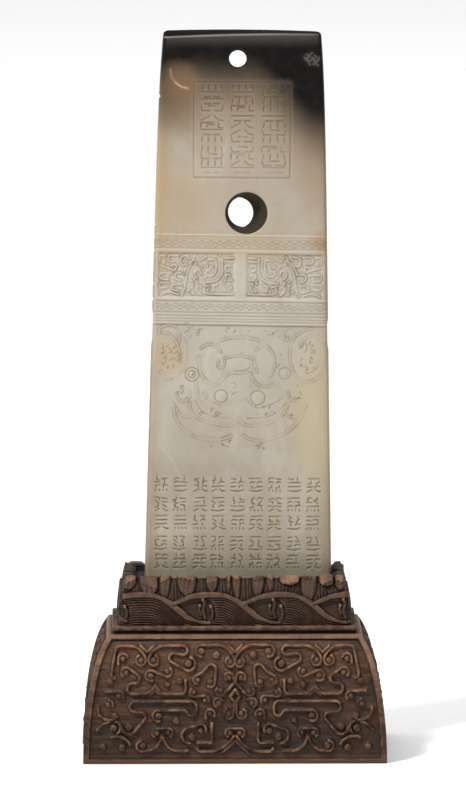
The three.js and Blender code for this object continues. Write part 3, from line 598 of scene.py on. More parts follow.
def carve_mask_rings(relief):
    """The rings and bosses of the mask, the left one a spiral, and its small flecks."""
    for x, z, radius, inner in MASK_RINGS:
        ring = [(x + radius * math.cos(a / 4), z + radius * math.sin(a / 4)) for a in range(26)]
        spiral = x < -20
        relief.cut_line(ring, 0.55, 0.28, 0.65 if spiral else 0.42)
        relief.raise_boss(x, z, inner, 0.35)
        if spiral:
            relief.cut_line([(x + (a - x) * 0.5, z + (b - z) * 0.5) for a, b in ring], 0.5, 0.25, 0.6)
            relief.cut_line([(x + 0.2, z - 0.3), (x + 0.5, z - 0.1)], 0.6, 0.3, 0.9)
    draw = np.random.default_rng(31)
    for x, z, wide, high, count in MASK_FLECKS:
        for _ in range(count):
            x1, z1 = x + wide * draw.uniform(-1, 1), z + high * draw.uniform(-1, 1)
            turn, side = draw.uniform(0, 360), either_side(draw)
            fleck = wind(turn, [(x1, z1, 0.7 * side)], turn + side * draw.uniform(60, 200))
            relief.cut_line(fleck, 0.45, 0.22, draw.uniform(0.4, 0.9))


def swell_mask(relief):
    """The mask's ears, cheeks and nose, softly swelling."""
    xs, zs = relief.xs, relief.zs
    for x, z, wide, high, rise, inner in MASK_OVALS:
        oval = ((xs - x) / wide) ** 2 + ((zs - z) / high) ** 2
        relief.height += rise * (1 - step_up(oval, inner, 1.1)) * (zs < MASK_TOP)
    relief.height += 0.25 * band(xs, -4.6, 4.6, 1.2) * band(zs, 95, 113, 1.5)


def carve_inscriptions(relief):
    """The block of small strokes at the foot and the square of taller ones above the large bore."""
    draw = np.random.default_rng(19)
    for x in TEXT_COLUMNS:
        for z in TEXT_ROWS:
            for points in small_sign(draw, x + draw.uniform(-0.3, 0.3), z, TEXT_SIZE):
                relief.cut_line(points, *TEXT_CUT)
    pitch = (SEAL_HIGH - SEAL_LOW - 1.2) / 3
    for left, right in SEAL_COLUMNS:
        for k in range(3):
            middle = SEAL_HIGH - 0.6 - pitch * (k + 0.5)
            for points in tall_sign(draw, (left + right) / 2, middle, right - left, pitch * 0.9):
                relief.cut_line(points, *SEAL_CUT)
    low_left, high_right = (SEAL_LEFT, SEAL_LOW), (SEAL_RIGHT, SEAL_HIGH)
    frame_line = [low_left, (SEAL_RIGHT, SEAL_LOW), high_right, (SEAL_LEFT, SEAL_HIGH), low_left]
    relief.cut_line(frame_line, *FRAME_CUT)


def jade_front():
    """The front: belts, mask and inscriptions, and the pale crack and scuffs near the head."""
    relief = Relief(*SLAB_GRID, 0.28 * COARSE)
    crack = smooth_line(CRACK)
    relief.paint_line(crack, 0.8, 0.4)
    relief.paint_line(crack[len(crack) // 2:], 0.9, 1.0)
    relief.cut_line(crack, 0.6, 0.12)
    for x, z, run, rise in JADE_SCUFFS:
        scuff = [(x, z), (x + run, z + rise)]
        relief.paint_line(scuff, 0.7, 0.3)
        relief.cut_line(scuff, 0.45, 0.08)
    carve_belts(relief)
    carve_mask_lines(relief)
    carve_mask_rings(relief)
    swell_mask(relief)
    carve_inscriptions(relief)
    relief.finish(1, 0.9)
    return relief


def jade_back():
    """The back carries the belts alone."""
    relief = Relief(*SLAB_GRID, 0.5 * COARSE)
    for low, high in (LOWER_BELT, UPPER_BELT):
        relief.height += BELT_PROUD * band(relief.zs, low, high + 0.8)
    for level in BACK_GROOVES:
        relief.cut_across(level, 39.5, *BACK_CUT)
    relief.finish(1, 0.9)
    return relief


def tablet_half(w):
    """Half the slab's width at a height."""
    share = w / TABLET_LENGTH
    return (TABLET_FOOT_WIDTH - TABLET_TAPER * share - HEAD_ROUNDING * share ** 12) / 2


def belt_slope(x, w):
    """How much the belts and all between them rise to the right."""
    return BELT_SLOPE * x * band(w, 126, 176, 3)


def head_fall(across):
    """How far the head's front edge falls to the left."""
    return HEAD_DROP * np.clip(0.5 - across * 0.6, 0, 1)


def slab_levels():
    """The rows of the slab's skin: height, how far its outline is pulled in, and its share of thickness.

    They are close where there is carving and wide apart where there is none."""
    rows = [0.0, 3.5]
    for low, high, step in ((7, 17, 2), (17, 60, 0.38), (60, 71, 1.5), (71, 128, 0.42), (128, 170, 0.36),
                            (170, 188, 0.45), (188, 193, 1.0), (193, 254, 0.42)):
        rows.extend(np.arange(low, high, step * COARSE))
    rows += [254, 255.5, 257.0, 258.2]
    levels = [(0.0, 0.0, 0.0)] + [(w, 0.0, 1.0) for w in rows]
    for angle in (0.5, 1.0, 1.4):
        level = TABLET_LENGTH - HEAD_SOFT + HEAD_SOFT * math.sin(angle)
        levels.append((level, HEAD_SOFT * (1 - math.cos(angle)), 1.0))
    return levels + [(TABLET_LENGTH + 0.05, HEAD_SOFT, 0.6), (TABLET_LENGTH + 0.1, HEAD_SOFT, 0.0)]


def slab_section(w, half, pull, share, front, back):
    """One row: across the front, over the right edge, back and over the left."""
    thick = TABLET_THICKNESS / 2
    if w < FOOT_BEVEL:
        thick = FOOT_THICKNESS / 2 + (thick - FOOT_THICKNESS / 2) * w / FOOT_BEVEL
    edge = min(TABLET_EDGE / 2, thick * 0.6)
    corner = half - EDGE_STEPS
    middle = np.linspace(-1, 1, int(SLAB_COLUMNS / COARSE)) * (half - EDGE_ROUNDING)
    x = np.concatenate([-corner, middle, corner[::-1]])
    inset = np.clip(half - np.abs(x), 0, None)
    curve = np.sqrt(np.clip(1 - (1 - np.clip(inset / EDGE_ROUNDING, 0, 1)) ** 2, 0, 1))
    face = edge + (thick * 0.95 - edge) * curve
    face += thick * 0.05 * (1 - (1 - np.clip(inset / 25, 0, 1)) ** 2)
    level = w + belt_slope(x, w)
    faces = []
    for side, relief in ((-1, front), (1, back)):
        lift = relief.at(relief.height, -side * x, level) * np.clip(inset, 0, 1)
        faces.append(side * (face + lift - pull) * share)
    across = np.linspace(-1, 1, 7)[1:-1]
    bulge = half + 0.25 * (1 - across ** 2) * share
    edge_y = across * (edge - pull * 0.5) * share
    xs = np.concatenate([x, bulge, x[::-1], -bulge, x[:1]]) * (half - pull) / half
    return xs, np.concatenate([faces[0], edge_y, faces[1][::-1], -edge_y, faces[0][:1]])


def slab_places(front, back):
    """Places of the slab's skin, row by row, with its edges and head worn."""
    out = []
    for w, pull, share in slab_levels():
        half = float(tablet_half(min(w, TABLET_LENGTH)))
        xs, ys = slab_section(w, half, pull, share, front, back)
        left, right = (np.clip((side * xs - half + 1.5) / 1.5, 0, 1) for side in (-1, 1))
        for level, reach, depth in EDGE_CHIPS:
            xs += depth * (1 - step_up(abs(w - level), reach * 0.5, reach)) * left
        xs -= RIGHT_WEAR_DEPTH * (1 - step_up(abs(w - RIGHT_WEAR_HEIGHT), 4, 7.5)) * right
        across = xs / (TABLET_FOOT_WIDTH / 2)
        worn = np.where(ys < 0, head_fall(across) * np.clip(-ys / 4, 0, 1), 0)
        drop = (HEAD_CROWN * across ** 2 + worn) * step_up(w, TABLET_LENGTH - 9, TABLET_LENGTH)
        out.append(np.stack([xs, ys, w - drop], axis=1))
    return np.array(out)


def opened(bm, x, z, side, radius):
    """Takes a round piece out of one face of the slab, and gives the edges round the opening."""
    def near(place, reach):
        return place.y * side > FACE_DEPTH and math.hypot(place.x - x, place.z - z) < reach

    gone = [face for face in bm.faces if near(face.calc_center_median() / MM, radius)]
    bmesh.ops.delete(bm, geom=gone, context="FACES")
    return [edge for edge in bm.edges if edge.is_boundary and near(edge.verts[0].co / MM, radius + 4)]


def open_bore(bm, x, z, stations_front, stations_back):
    """Cuts a bore through the slab: an opening in each face, and walls from both that meet inside."""
    loops = []
    for side, stations, drop in ((-1, stations_front, 0.0), (1, stations_back, BACK_DROP)):
        ring = opened(bm, x + stations[0][2], z + drop, side, stations[0][1])
        rim = {v for edge in ring for v in edge.verts}
        surface = sum(v.co.y for v in rim) / len(rim)
        for depth, size, shift in stations:
            if depth:
                made = bmesh.ops.extrude_edge_only(bm, edges=ring)["geom"]
                ring = [g for g in made if isinstance(g, bmesh.types.BMEdge)]
            for v in {v for edge in ring for v in edge.verts}:
                angle = math.atan2(v.co.z / MM - z - drop, v.co.x / MM - x - shift)
                v.co.x = (x + shift + size * math.cos(angle)) * MM
                v.co.z = (z + drop + size * math.sin(angle)) * MM
                if depth:
                    v.co.y = surface - side * depth * MM
        loops.append(ring)
    bmesh.ops.bridge_loops(bm, edges=loops[0] + loops[1])


def into_stand(places):
    """From the slab's own frame to where it leans in the stand."""
    x, y, w = places[..., 0], places[..., 1], places[..., 2]
    cos, sin = math.cos(TABLET_LEAN), math.sin(TABLET_LEAN)
    return np.stack([TABLET_SHIFT + x * cos + w * sin, y, TABLET_BASE + w * cos - x * sin], axis=-1)


def painted_edge_highlight(x, y, w):
    """How strong the painted highlight along the head's front edge is: a thin line, fading to the right."""
    across = x / (TABLET_FOOT_WIDTH / 2)
    top = TABLET_LENGTH - HEAD_CROWN * across ** 2 - head_fall(across)
    line = np.clip(1 - np.abs(w - top + 0.75) / 0.42, 0, 1) * (y < -CARVED_DEPTH)
    return line * (0.62 - 0.3 * step_up(x, 2, 34)) * (1 - step_up(x, 30, 36))


def make_jade():
    front, back = jade_front(), jade_back()
    mesh, bm = wrapped_sheet("jade_gui_slab", slab_places(front, back))
    open_bore(bm, BORE_SHIFT, BORE_HEIGHT, BORE_FRONT, BORE_BACK)
    open_bore(bm, EYE_SHIFT, EYE_HEIGHT, EYE_FRONT, EYE_BACK)
    piece = thinned("jade_gui_slab", mesh, bm)
    places = places_of(piece)
    x, y, w = places.T
    in_bore = np.hypot(x - BORE_SHIFT, w - BORE_HEIGHT) < BORE_REACH
    in_eye = np.hypot(x - EYE_SHIFT, w - EYE_HEIGHT) < EYE_REACH
    inside = (np.abs(y) < TABLET_THICKNESS / 2 - 0.3) & (in_bore | in_eye)
    carved = (y < -CARVED_DEPTH) & ~inside
    level = w + belt_slope(x, w)
    # The ink holds the colour in the cuts and the painted shade along the feet of ridges.
    set_values(piece, "ink", front.at(front.ink, x, level) * carved)
    for name, values in (("hollow", front.hollow), ("proud", front.proud)):
        set_values(piece, name, front.at(values, x, level) * carved * CARVING_GAIN)
    # The pale value holds the crack and scuffs and the painted highlight along the head's front edge.
    set_values(piece, "pale", np.maximum(front.at(front.pale, x, w) * carved, painted_edge_highlight(x, y, w)))
    set_values(piece, "bore", inside * 1.0)
    # Painted shade on the slab's rounded sides, which the material darkens.
    halves = (TABLET_FOOT_WIDTH - TABLET_TAPER * w / TABLET_LENGTH) / 2
    set_values(piece, "side", step_up(np.abs(x) - halves, -0.9, 0.1))
    piece.data.vertices.foreach_set("co", (into_stand(places) * MM).astype(np.float32).ravel())
    piece.data.update()
    piece.data.materials.append(jade_material())
    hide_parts("jade_gui")
    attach(piece, "root")


# The stand.

# Scrolls of the panel's right half, each wound round its pegs, and the bosses: middle and radius.
CENTRE_LINES = (
    (80, [(8.2, 44.2, -8.2), (15.1, 49.9, -2.4)], 170), (-90, [(2.1, 45.1, 1.9)], 150),
    (0, [(0.1, 49.3, 0), (3.2, 52.3, 0)], 0),
    (210, [(11, 36.4, -2), (10.6, 42, -2.1), (15.8, 42.6, 2.2), (16.7, 37.4, -1.8)], -170),
    (0, [(0, 36.5, 0), (6.4, 32.4, 2)], 120), (60, [(7.4, 27.3, -2)], -150),
    (0, [(0, 33, 0), (2.1, 30, 0), (0, 27, 0)], 0), (0, [(0.2, 36.5, 0), (2.6, 38.5, -1.9)], -120),
    (0, [(0.4, 26.6, 0), (2.8, 22.5, 2.1)], 150), (0, [(0.2, 15.9, 0), (2.3, 14, -1.9)], -150),
    (-62, [(12.2, 18.4, 13), (14.6, 8, 2.6)], 60), (0, [(0, 10.4, 0), (6, 4.9, 0)], 0),
)
FLANK_LINES = (
    (80, [(46.9, 44.6, -7.5), (50.9, 49.9, -2.2), (53.3, 39.8, -1.7)], -170),
    (100, [(31.1, 44.6, 7.5), (23.1, 50.2, 2), (27.4, 46.9, -1.9), (20.6, 44.3, -2.9)], 20),
    (-90, [(41.8, 45.9, 2.1)], 150), (-90, [(36.2, 45.9, -2.1)], 30),
    (0, [(36, 52, 0), (39, 49.4, 0), (42, 52, 0)], 0), (70, [(49.8, 46.7, -2), (51.9, 44.4, 0)], 0),
    (120, [(13.4, 28.6, -1.8), (18.4, 31.8, 1.8)], 140),
    (-90, [(22, 37, 0), (23.8, 33.1, 1.9), (30.4, 35.9, 4.7), (35.5, 34.6, 0), (40.6, 35.9, 4.7),
           (45.6, 33.6, 2.3), (44.3, 37.9, -2), (48.4, 40.7, -2.1)], -130),
    (0, [(33.2, 31, 0), (35.5, 33, 0), (37.8, 31, 0)], 0), (-130, [(30.2, 40.9, 2), (37.5, 39.3, -2.2)], 160),
    (180, [(58, 32.5, 0), (51.6, 30.3, 2.1)], -60), (190, [(56.3, 26.8, 1.9)], -60),
    (-45, [(56, 24.6, 4.9)], 95), (150, [(53.8, 16.3, -2.9)], 20),
    (0, [(56.1, 19, 0), (58.6, 17.9, 0), (61.2, 15.4, 0)], 0),
    (-90, [(47.2, 16.5, -3.2), (41.9, 21.1, -2), (44.6, 25.6, 2.3), (19.6, 25.6, 2.4), (19.2, 23.4, 1.9),
           (22.7, 22.6, -1.4), (34.2, 21.6, -2.4)], 170),
    (110, [(15.3, 15.4, -2.3), (20.3, 12.7, -3.4)], -180), (120, [(11.1, 22.4, -1.9), (12.9, 20.2, 0)], 0),
    (-90, [(10.3, 18, 0), (11.8, 10.8, 1.5), (16.6, 9.4, 0)], 0),
    (0, [(32.4, 15.9, 0), (35, 14, -1.9)], -150),
    (180, [(32.4, 15.9, 0), (29.8, 14, 1.9)], -30), (-80, [(40.2, 13.3, 7.6), (41.4, 8, 2.3)], 170),
    (-100, [(24.6, 13.3, -7.6), (22.4, 8, -2.3)], 150), (62, [(52.8, 5.6, -6.8)], -22),
)
CENTRE_BOSSES = (
    (15.1, 49.7, 1.4), (2.1, 45.1, 1), (8.2, 48.1, 1.3), (11.1, 36.3, 1.1), (16.7, 37.3, 0.9),
    (6.4, 32.3, 1.1), (7.4, 27.2, 1.1), (2.7, 38.4, 1), (2.8, 22.4, 1.2), (2.3, 13.9, 1.1),
)
FLANK_BOSSES = (
    (20.6, 44.3, 1.5), (36.2, 45.8, 1.1), (41.8, 45.8, 1.1), (49.8, 46.6, 1), (55.6, 36.7, 1.9),
    (13.4, 28.5, 0.9), (18.5, 31.9, 0.9), (24.6, 36.7, 1.1), (48.4, 40.6, 1.1), (30.2, 35.1, 0.9),
    (30.2, 41, 1), (37.6, 39.2, 1.2), (51.6, 30.2, 1.1), (56.3, 26.7, 1), (53.7, 21.6, 1.1),
    (54, 16.1, 1.3), (34.2, 21.6, 1.3), (47.2, 16.6, 1.7), (26.3, 19.4, 1.2), (15.1, 14.9, 1.1),
    (19.4, 12, 1.9), (11.1, 22.3, 1), (29.8, 14, 1), (35, 14, 1), (41.3, 8.2, 1.3), (50.2, 7.2, 1.5),
    (59, 7.6, 1.6),
)
# Line weights on the stand: width, rise, ground and roundness. A boss grows by so much, up to a radius.
PANEL_SKIRT = (2.6, 0.35, -PANEL_SINK, 0.35)
PANEL_RIDGE = (1.45, PANEL_SINK + 0.42, -PANEL_SINK, 0.3)
FINGER_RIDGE = (1.6, 0.75, -0.5, 0.6)
BOSS_MORE, BOSS_MOST, BOSS_RISE = 0.42, 1.75, PANEL_SINK + 0.7
# A wave's crest from its start to its foot, and the curl in its hollow, with three fingers.
CREST_LINE = (
    (-15.0, 10.4), (-10.7, 12.4), (-6.2, 14.0), (-0.4, 14.9), (5.4, 14.7), (9.5, 13.8), (15.3, 11.1),
    (19.7, 7.9), (23.3, 4.8), (27.8, 2.5), (33.2, 1.9),
)
WAVE_PITCH, WAVE_PEAK, SIDE_WAVE_PEAK, CREST_BAND, WAVES_HEIGHT = 31.27, 18.8, 6.0, 2.7, 15.4
CURL_HEIGHTS, CURL_EDGE = (0, 1, 4, 8, 12, 15), (2.2, 2.7, 3.9, 3.5, 0.6, -1.0)
FINGERS = (
    ((-3.1, 8.7), (-3.4, 7.0), (-2.7, 5.0)), ((-1.7, 11.6), (-0.9, 9.4), (-1.6, 6.6), (-0.6, 3.2)),
    ((1.8, 8.5), (2.7, 6.2), (2.4, 3.4), (1.0, 1.2)),
)
# Each rock of the front: left edge, right edge, how far down it reaches, depth of its facet, how proud it is.
FRONT_ROCKS = (
    (-50.6, -43.6, 6.4, 3.4, 0.7), (-42.6, -33.9, 9.2, 3.9, 1.1), (-33.4, -28.3, 11.0, 2.9, 0.6),
    (-25.8, -17.0, 9.6, 2.6, 1.0), (-12.9, -7.1, 7.8, 2.9, 1.1), (-3.7, -1.3, 8.5, 2.4, 0.4),
    (-1.2, 2.7, 11.6, 2.6, 0.9), (7.8, 13.5, 10.0, 2.8, 1.0), (14.1, 17.6, 7.5, 1.6, 0.2),
    (19.8, 29.2, 4.6, 3.4, 1.2), (29.5, 37.0, 12.4, 2.4, 0.7), (37.2, 44.3, 5.2, 4.0, 1.2),
    (44.6, 50.2, 7.0, 2.4, 0.6),
)


def curved_in(z):
    """How far the base's sides have curved in at a height, from 0 to 1."""
    return 1 - np.sqrt(1 - (np.minimum(z, BASE_HEIGHT) / DOME_RISE) ** 2)


def base_half_x(z):
    return BASE_WIDTH / 2 - DOME_INSET_X * curved_in(z)


def base_half_y(z):
    return BASE_DEPTH / 2 - DOME_INSET_Y * curved_in(z)


def collar_lean(z):
    """How far the collar has leaned in at a height."""
    return COLLAR_LEAN * np.clip((z - RIB_TOP) / COLLAR_HEIGHT, 0, 1) ** 2


def carve_panel(relief, half_at, lines, bosses):
    """A sunk panel inside its border, with scrollwork left standing in it."""
    xs, zs = relief.xs, relief.zs
    inside = band(zs, BORDER_FOOT, BASE_HEIGHT - BORDER_TOP, 0.25)
    half = half_at(np.clip(zs, 0, BASE_HEIGHT)) - BORDER_SIDE
    inside = inside * (1 - step_up(np.abs(xs) - half, -0.25, 0.25))
    relief.height -= PANEL_SINK * inside
    # Painted light: the border is paler higher up, where it faces the light from above.
    relief.pale = np.maximum(relief.pale, 0.4 * (1 - inside) * step_up(zs, 15, 50) * (zs < BASE_HEIGHT))
    for start, pegs, end in lines:
        points = wind(start, pegs, end)
        for line in (points, mirrored(points)):
            relief.raise_line(line, *PANEL_SKIRT)
            relief.raise_line(line, *PANEL_RIDGE)
    for x, z, radius in bosses:
        for side in (1, -1):
            relief.raise_line([(side * x, z)], 2 * radius + 1.2, 0.35, -PANEL_SINK, 0.4)
            relief.raise_boss(side * x, z, min(radius + BOSS_MORE, BOSS_MOST), BOSS_RISE, -PANEL_SINK)


def curl_shift(centre):
    """The curl at the left end stands nearer to its crest."""
    return 7.0 if centre < -40 else 0.0


def carve_waves(relief, half, phase):
    """Breaking waves side by side: plain crests over close lines, and a fingered curl closing each hollow."""
    xs, zs = relief.xs, relief.zs - RIB_TOP
    line = np.array(smooth_line(CREST_LINE, 10))
    fall = np.gradient(line[:, 1], line[:, 0])
    count = math.ceil((half + phase + 36) / WAVE_PITCH)
    centres = phase + WAVE_PITCH * np.arange(-count, round((half - phase + 16) // WAVE_PITCH) + 1)
    out = np.full_like(xs, 0.2)
    top = np.full_like(xs, -9.0)
    pale = np.zeros_like(xs)
    curl = np.interp(zs, CURL_HEIGHTS, CURL_EDGE)
    for centre in centres:
        t = xs - centre
        hook = curl - curl_shift(centre)
        here = (t > -15.0) & (t < 33.0)
        crest = np.interp(t, line[:, 0], line[:, 1])
        below = (crest - zs) / np.sqrt(1 + np.interp(t, line[:, 0], fall) ** 2)
        tail = np.interp(t + WAVE_PITCH, line[:, 0], line[:, 1])
        thick = CREST_BAND * (1 - 0.35 * step_up(np.abs(t), 0, 16) + 0.45 * band(t, 13, 23, 4))
        on_band = here & (below >= 0) & (below < thick)
        lines = here & (below >= thick) & (t > hook) & (t < WAVE_PITCH + curl)
        hollow = here & (below >= thick) & (t <= hook) & (zs > tail)
        inside = np.minimum(below - thick, (zs - tail) * 0.8)
        sunk = 0.55 + 0.3 * np.clip(inside / 2, 0, 1) + 0.16 * np.cos(inside * math.tau / 0.95)
        out = np.where(hollow, -sunk, out)
        out = np.where(lines, 0.3 - 0.36 * np.cos((below - thick) * math.tau / 1.08), out)
        rounded = 1.15 - 0.45 * (below / thick - 0.4) ** 2 - 0.6 * step_up(below / thick, 0.82, 1.0)
        out = np.where(on_band, rounded, out)
        pale = np.where(on_band, 0.2, np.where(lines | hollow, 0.0, pale))
        top = np.where(here, np.maximum(top, crest), top)
    under = (zs > -0.2) & (zs < top) & (np.abs(xs) < half + 2)
    relief.height = np.where(under, out, relief.height)
    relief.pale = np.where(under, pale, relief.pale)
    for centre in centres:
        for finger in FINGERS:
            place = centre - curl_shift(centre)
            points = [(place + x, RIB_TOP + z) for x, z in smooth_line(finger)]
            relief.raise_line(points, *FINGER_RIDGE)
            relief.raise_boss(*points[0], 0.9, 1.3, -0.4)
            relief.paint_line(points[:1], 2.2, 0.6)
    return top


def carve_rocks(relief, rocks, top, share_pale):
    """Upright rocks over the waves: shields with a round foot, worn flat at the head, and flutes between."""
    xs, zs = relief.xs, relief.zs - RIB_TOP
    down = COLLAR_HEIGHT + CROWN_RISE - zs
    out = -0.55 + 0.3 * np.cos(xs * math.tau / 1.45 + 0.5 * np.sin(down * 0.4))
    pale = np.zeros_like(xs)
    drop = np.full(xs.shape[1], 1.7)
    for k, (left, right, depth, facet, proud) in enumerate(rocks):
        middle, half = (left + right) / 2, (right - left) / 2
        sway = 0.5 * math.sin(k * 2.4)
        share = (xs - middle - sway * down / depth) / half
        waist = np.sqrt(np.clip(1 - np.clip((down - facet * 0.7) / (depth - facet * 0.7), 0, 1) ** 2.2, 0, 1))
        edge = (waist - np.abs(share)) * half
        body = np.clip(edge / 0.9, 0, 1)
        brow = facet * (0.95 + 0.3 * math.sin(k * 1.7) - 0.45 * share * math.cos(k * 2.9))
        brow += 0.25 * np.sin(xs * 3.1 + k)
        cut = step_up(down, brow - 0.25, brow + 0.25)
        slope = proud + 0.25 * math.sin(k * 3.1) * share
        face = slope - 0.42 * np.clip((brow - down) / facet, 0, 1.2) - cut * (0.4 + 0.1 * (down - brow) / 3)
        face += 0.12 * np.cos(xs * 2.9 + 0.3 * down + k) * cut
        rock = np.where(body > 0, np.maximum(out, -0.9 + (face + 0.9) * np.sqrt(body)), -0.95)
        out = np.where(edge > -0.7, rock, out)
        tone = 0.62 + 0.3 * math.sin(k * 4.3) + 0.25 * share * math.cos(k * 1.3)
        pale = np.where(body > 0.3, np.maximum(0.14 * body, tone * (1 - cut) * body), pale)
        rim = np.abs(xs[0] - middle) / half
        drop = np.where(rim < 1, np.minimum(drop, 0.25 * (1 + math.sin(k * 2.1)) + 0.8 * rim ** 4), drop)
    above = (zs > top) & (zs > -0.2)
    relief.height = np.where(above, out, relief.height)
    relief.pale = np.where(above, pale * share_pale, relief.pale)
    relief.drop = softened(drop[None, :], 3)[0]


def plain_rocks(half, seed):
    """Rocks of uneven widths for a side or the back."""
    draw = np.random.default_rng(seed)
    rocks, left = [], -half + 0.4
    while left < half - 3:
        width = draw.uniform(4.5, 9)
        right = min(left + width, half - 0.4)
        rocks.append((left, right, draw.uniform(6, 12), draw.uniform(2.5, 4.5), draw.uniform(0.4, 1.1)))
        left = right + draw.uniform(0.3, 3.6)
    return tuple(rocks)


# From which depth a hollow is darkened, by grime and painted shade, and from which height a place is rubbed
# light, partly as a painted highlight, and how soon fully so.
HOLLOW_FROM, HOLLOW_GAIN, PROUD_FROM, PROUD_GAIN = 0.04, 5.2, 0.06, 3.4
# How many rows and places in a row the stand's skin has.
BASE_ROWS, WAVE_ROWS, ROCK_ROWS = 165, 74, 22
LONG_COLUMNS, SHORT_COLUMNS = 390, 130
# Each face: its scrolls, its bosses, the seed of its rocks and how much of their pale colour it has; the
# sides and back keep less of it, as painted shade.
STAND_FACES = {
    "front": (CENTRE_LINES + FLANK_LINES, CENTRE_BOSSES + FLANK_BOSSES, None, 1.0),
    "right": (CENTRE_LINES, CENTRE_BOSSES, 21, 0.35),
    "back": (CENTRE_LINES[:3] + FLANK_LINES[:6], CENTRE_BOSSES[:3] + FLANK_BOSSES[:4], 8, 0.35),
    "left": (CENTRE_LINES, CENTRE_BOSSES, 13, 0.35),
}


def stand_face(kind):
    """The relief of one of the stand's four faces, with how far the crown's rim falls along it."""
    lines, bosses, seed, share_pale = STAND_FACES[kind]
    long = kind in ("front", "back")
    step = (0.22 if kind == "front" else 0.36) * COARSE
    width = (BASE_WIDTH if long else BASE_DEPTH) / 2 + 1
    relief = Relief(-width, width, 0, CROWN_TOP + 1, step)
    carve_panel(relief, base_half_x if long else base_half_y, lines, bosses)
    half = (COLLAR_WIDTH if long else COLLAR_DEPTH) / 2
    top = carve_waves(relief, half, WAVE_PEAK if long else SIDE_WAVE_PEAK)
    carve_rocks(relief, FRONT_ROCKS if seed is None else plain_rocks(half, seed), top, share_pale)
    relief.finish(0, 0.7)
    return relief


def stand_profile():
    """Rows of the stand's skin from its underside up, over the rim and down into the slot.

    Each is (half width, half depth, height, how much carving, how much of the rim's fall, shift)."""
    rows = []

    def add(half_x, half_y, inset, z, carve=0, fall=0, shifted=0):
        rows.append((half_x - inset, half_y - inset, z, carve, fall, shifted))

    for inset in (BASE_DEPTH / 2, 3, 0.35):
        add(BASE_WIDTH / 2, BASE_DEPTH / 2, inset, 0.0)
    count = int(BASE_ROWS / COARSE)
    top_angle = math.asin(BASE_HEIGHT / DOME_RISE)
    for k in range(count + 1):
        z = max(DOME_RISE * math.sin(top_angle * k / count), 0.35)
        add(float(base_half_x(z)), float(base_half_y(z)), 0, z, 1)
    groove_x, groove_y = RIB_WIDTH / 2 - GROOVE_CUT, RIB_DEPTH / 2 - GROOVE_CUT
    groove_top = BASE_HEIGHT + GROOVE_HEIGHT
    top_x, top_y = rows[-1][:2]
    add(top_x * 0.85 + groove_x * 0.15, top_y * 0.85 + groove_y * 0.15, 0, BASE_HEIGHT + 0.1)
    for inset, z in ((-0.2, BASE_HEIGHT + 0.15), (0, BASE_HEIGHT + 0.4), (0, groove_top - 0.3)):
        add(groove_x, groove_y, inset, z)
    for angle in np.radians(np.linspace(-80, 80, 9)):
        out = GROOVE_CUT * (0.2 + 0.8 * math.cos(angle) ** 0.5)
        add(groove_x, groove_y, -out, groove_top + RIB_HEIGHT * (0.5 + 0.5 * math.sin(angle)))
    add(COLLAR_WIDTH / 2, COLLAR_DEPTH / 2, -0.3, RIB_TOP)
    waves_top = RIB_TOP + WAVES_HEIGHT
    levels = (np.linspace(RIB_TOP, waves_top, int(WAVE_ROWS / COARSE), endpoint=False),
              np.linspace(waves_top, CROWN_TOP, int(ROCK_ROWS / COARSE)))
    for z in np.concatenate(levels):
        fall = float(step_up(z, CROWN_TOP - 5, CROWN_TOP))
        add(COLLAR_WIDTH / 2, COLLAR_DEPTH / 2, float(collar_lean(z)), z, 1, fall)
    rim_x, rim_y = rows[-1][:2]
    for inset, fall in ((0.7, -0.2), (1.5, -0.3), (2.6, 0.0), (3.7, 0.35)):
        add(rim_x, rim_y, inset, CROWN_TOP - 0.35 - fall * 0.5, 0.15, 1)
    for inset, z, fall in ((0, CROWN_TOP - 1.2, 0.7), (0.1, WELL_FLOOR + 0.5, 0), (0.5, WELL_FLOOR, 0)):
        add(COLLAR_WIDTH / 2, COLLAR_DEPTH / 2, COLLAR_LEAN + WELL_WALL + inset, z, 0, fall)
    slot_x, slot_y = TABLET_FOOT_WIDTH / 2 + SLOT_GAP, TABLET_THICKNESS / 2 + SLOT_GAP
    for inset, z in ((-0.3, WELL_FLOOR), (0, WELL_FLOOR - 0.3), (0, SLOT_FLOOR), (slot_y, SLOT_FLOOR)):
        add(slot_x, slot_y, inset, z, 0, 0, 1)
    return rows


def stand_places(reliefs):
    """Places of the stand's skin, row by row: across the front, right side, back and left side."""
    shares = {}
    for kind in reliefs:
        count = LONG_COLUMNS if kind in ("front", "back") else SHORT_COLUMNS
        shares[kind] = np.linspace(-1, 1, int(count / COARSE) + 1)
    places = []
    for half_x, half_y, z, carve, fall, shifted in stand_profile():
        outs, falls = {}, {}
        for kind, relief in reliefs.items():
            half = half_x if kind in ("front", "back") else half_y
            x = shares[kind] * half
            out = relief.at(relief.height, x, np.full_like(x, z)) * carve
            corner = np.clip(1 - (half - np.abs(x)) / 1.8, 0, 1)
            if z < RIB_TOP:
                outs[kind] = out * (1 - corner)
            else:
                outs[kind] = out * (1 - 0.3 * corner) - 0.6 * carve * corner ** 2
            column = np.clip(((x - relief.low[0]) / relief.step).astype(int), 0, len(relief.drop) - 1)
            falls[kind] = relief.drop[column] * fall
        front_x, back_x = shares["front"] * half_x, -shares["back"] * half_x
        front_x[0] -= outs["left"][-1]
        front_x[-1] += outs["right"][0]
        back_x[0] += outs["right"][-1]
        back_x[-1] -= outs["left"][0]
        front = np.stack([front_x, -half_y - outs["front"], z - falls["front"]], axis=1)
        back = np.stack([back_x, half_y + outs["back"], z - falls["back"]], axis=1)
        right = np.stack([half_x + outs["right"], shares["right"] * half_y, z - falls["right"]], axis=1)
        left = np.stack([-half_x - outs["left"], -shares["left"] * half_y, z - falls["left"]], axis=1)
        ring = np.concatenate([front, right[1:-1], back, left[1:-1], front[:1]])
        ring[:, 0] += TABLET_SHIFT * shifted
        places.append(ring)
    return np.array(places)


def stand_half(half_at, collar, z):
    """Half the stand's width or depth at a height, without its carving."""
    return np.where(z < RIB_TOP - 0.3, half_at(np.clip(z, 0, BASE_HEIGHT)), collar / 2 - collar_lean(z))


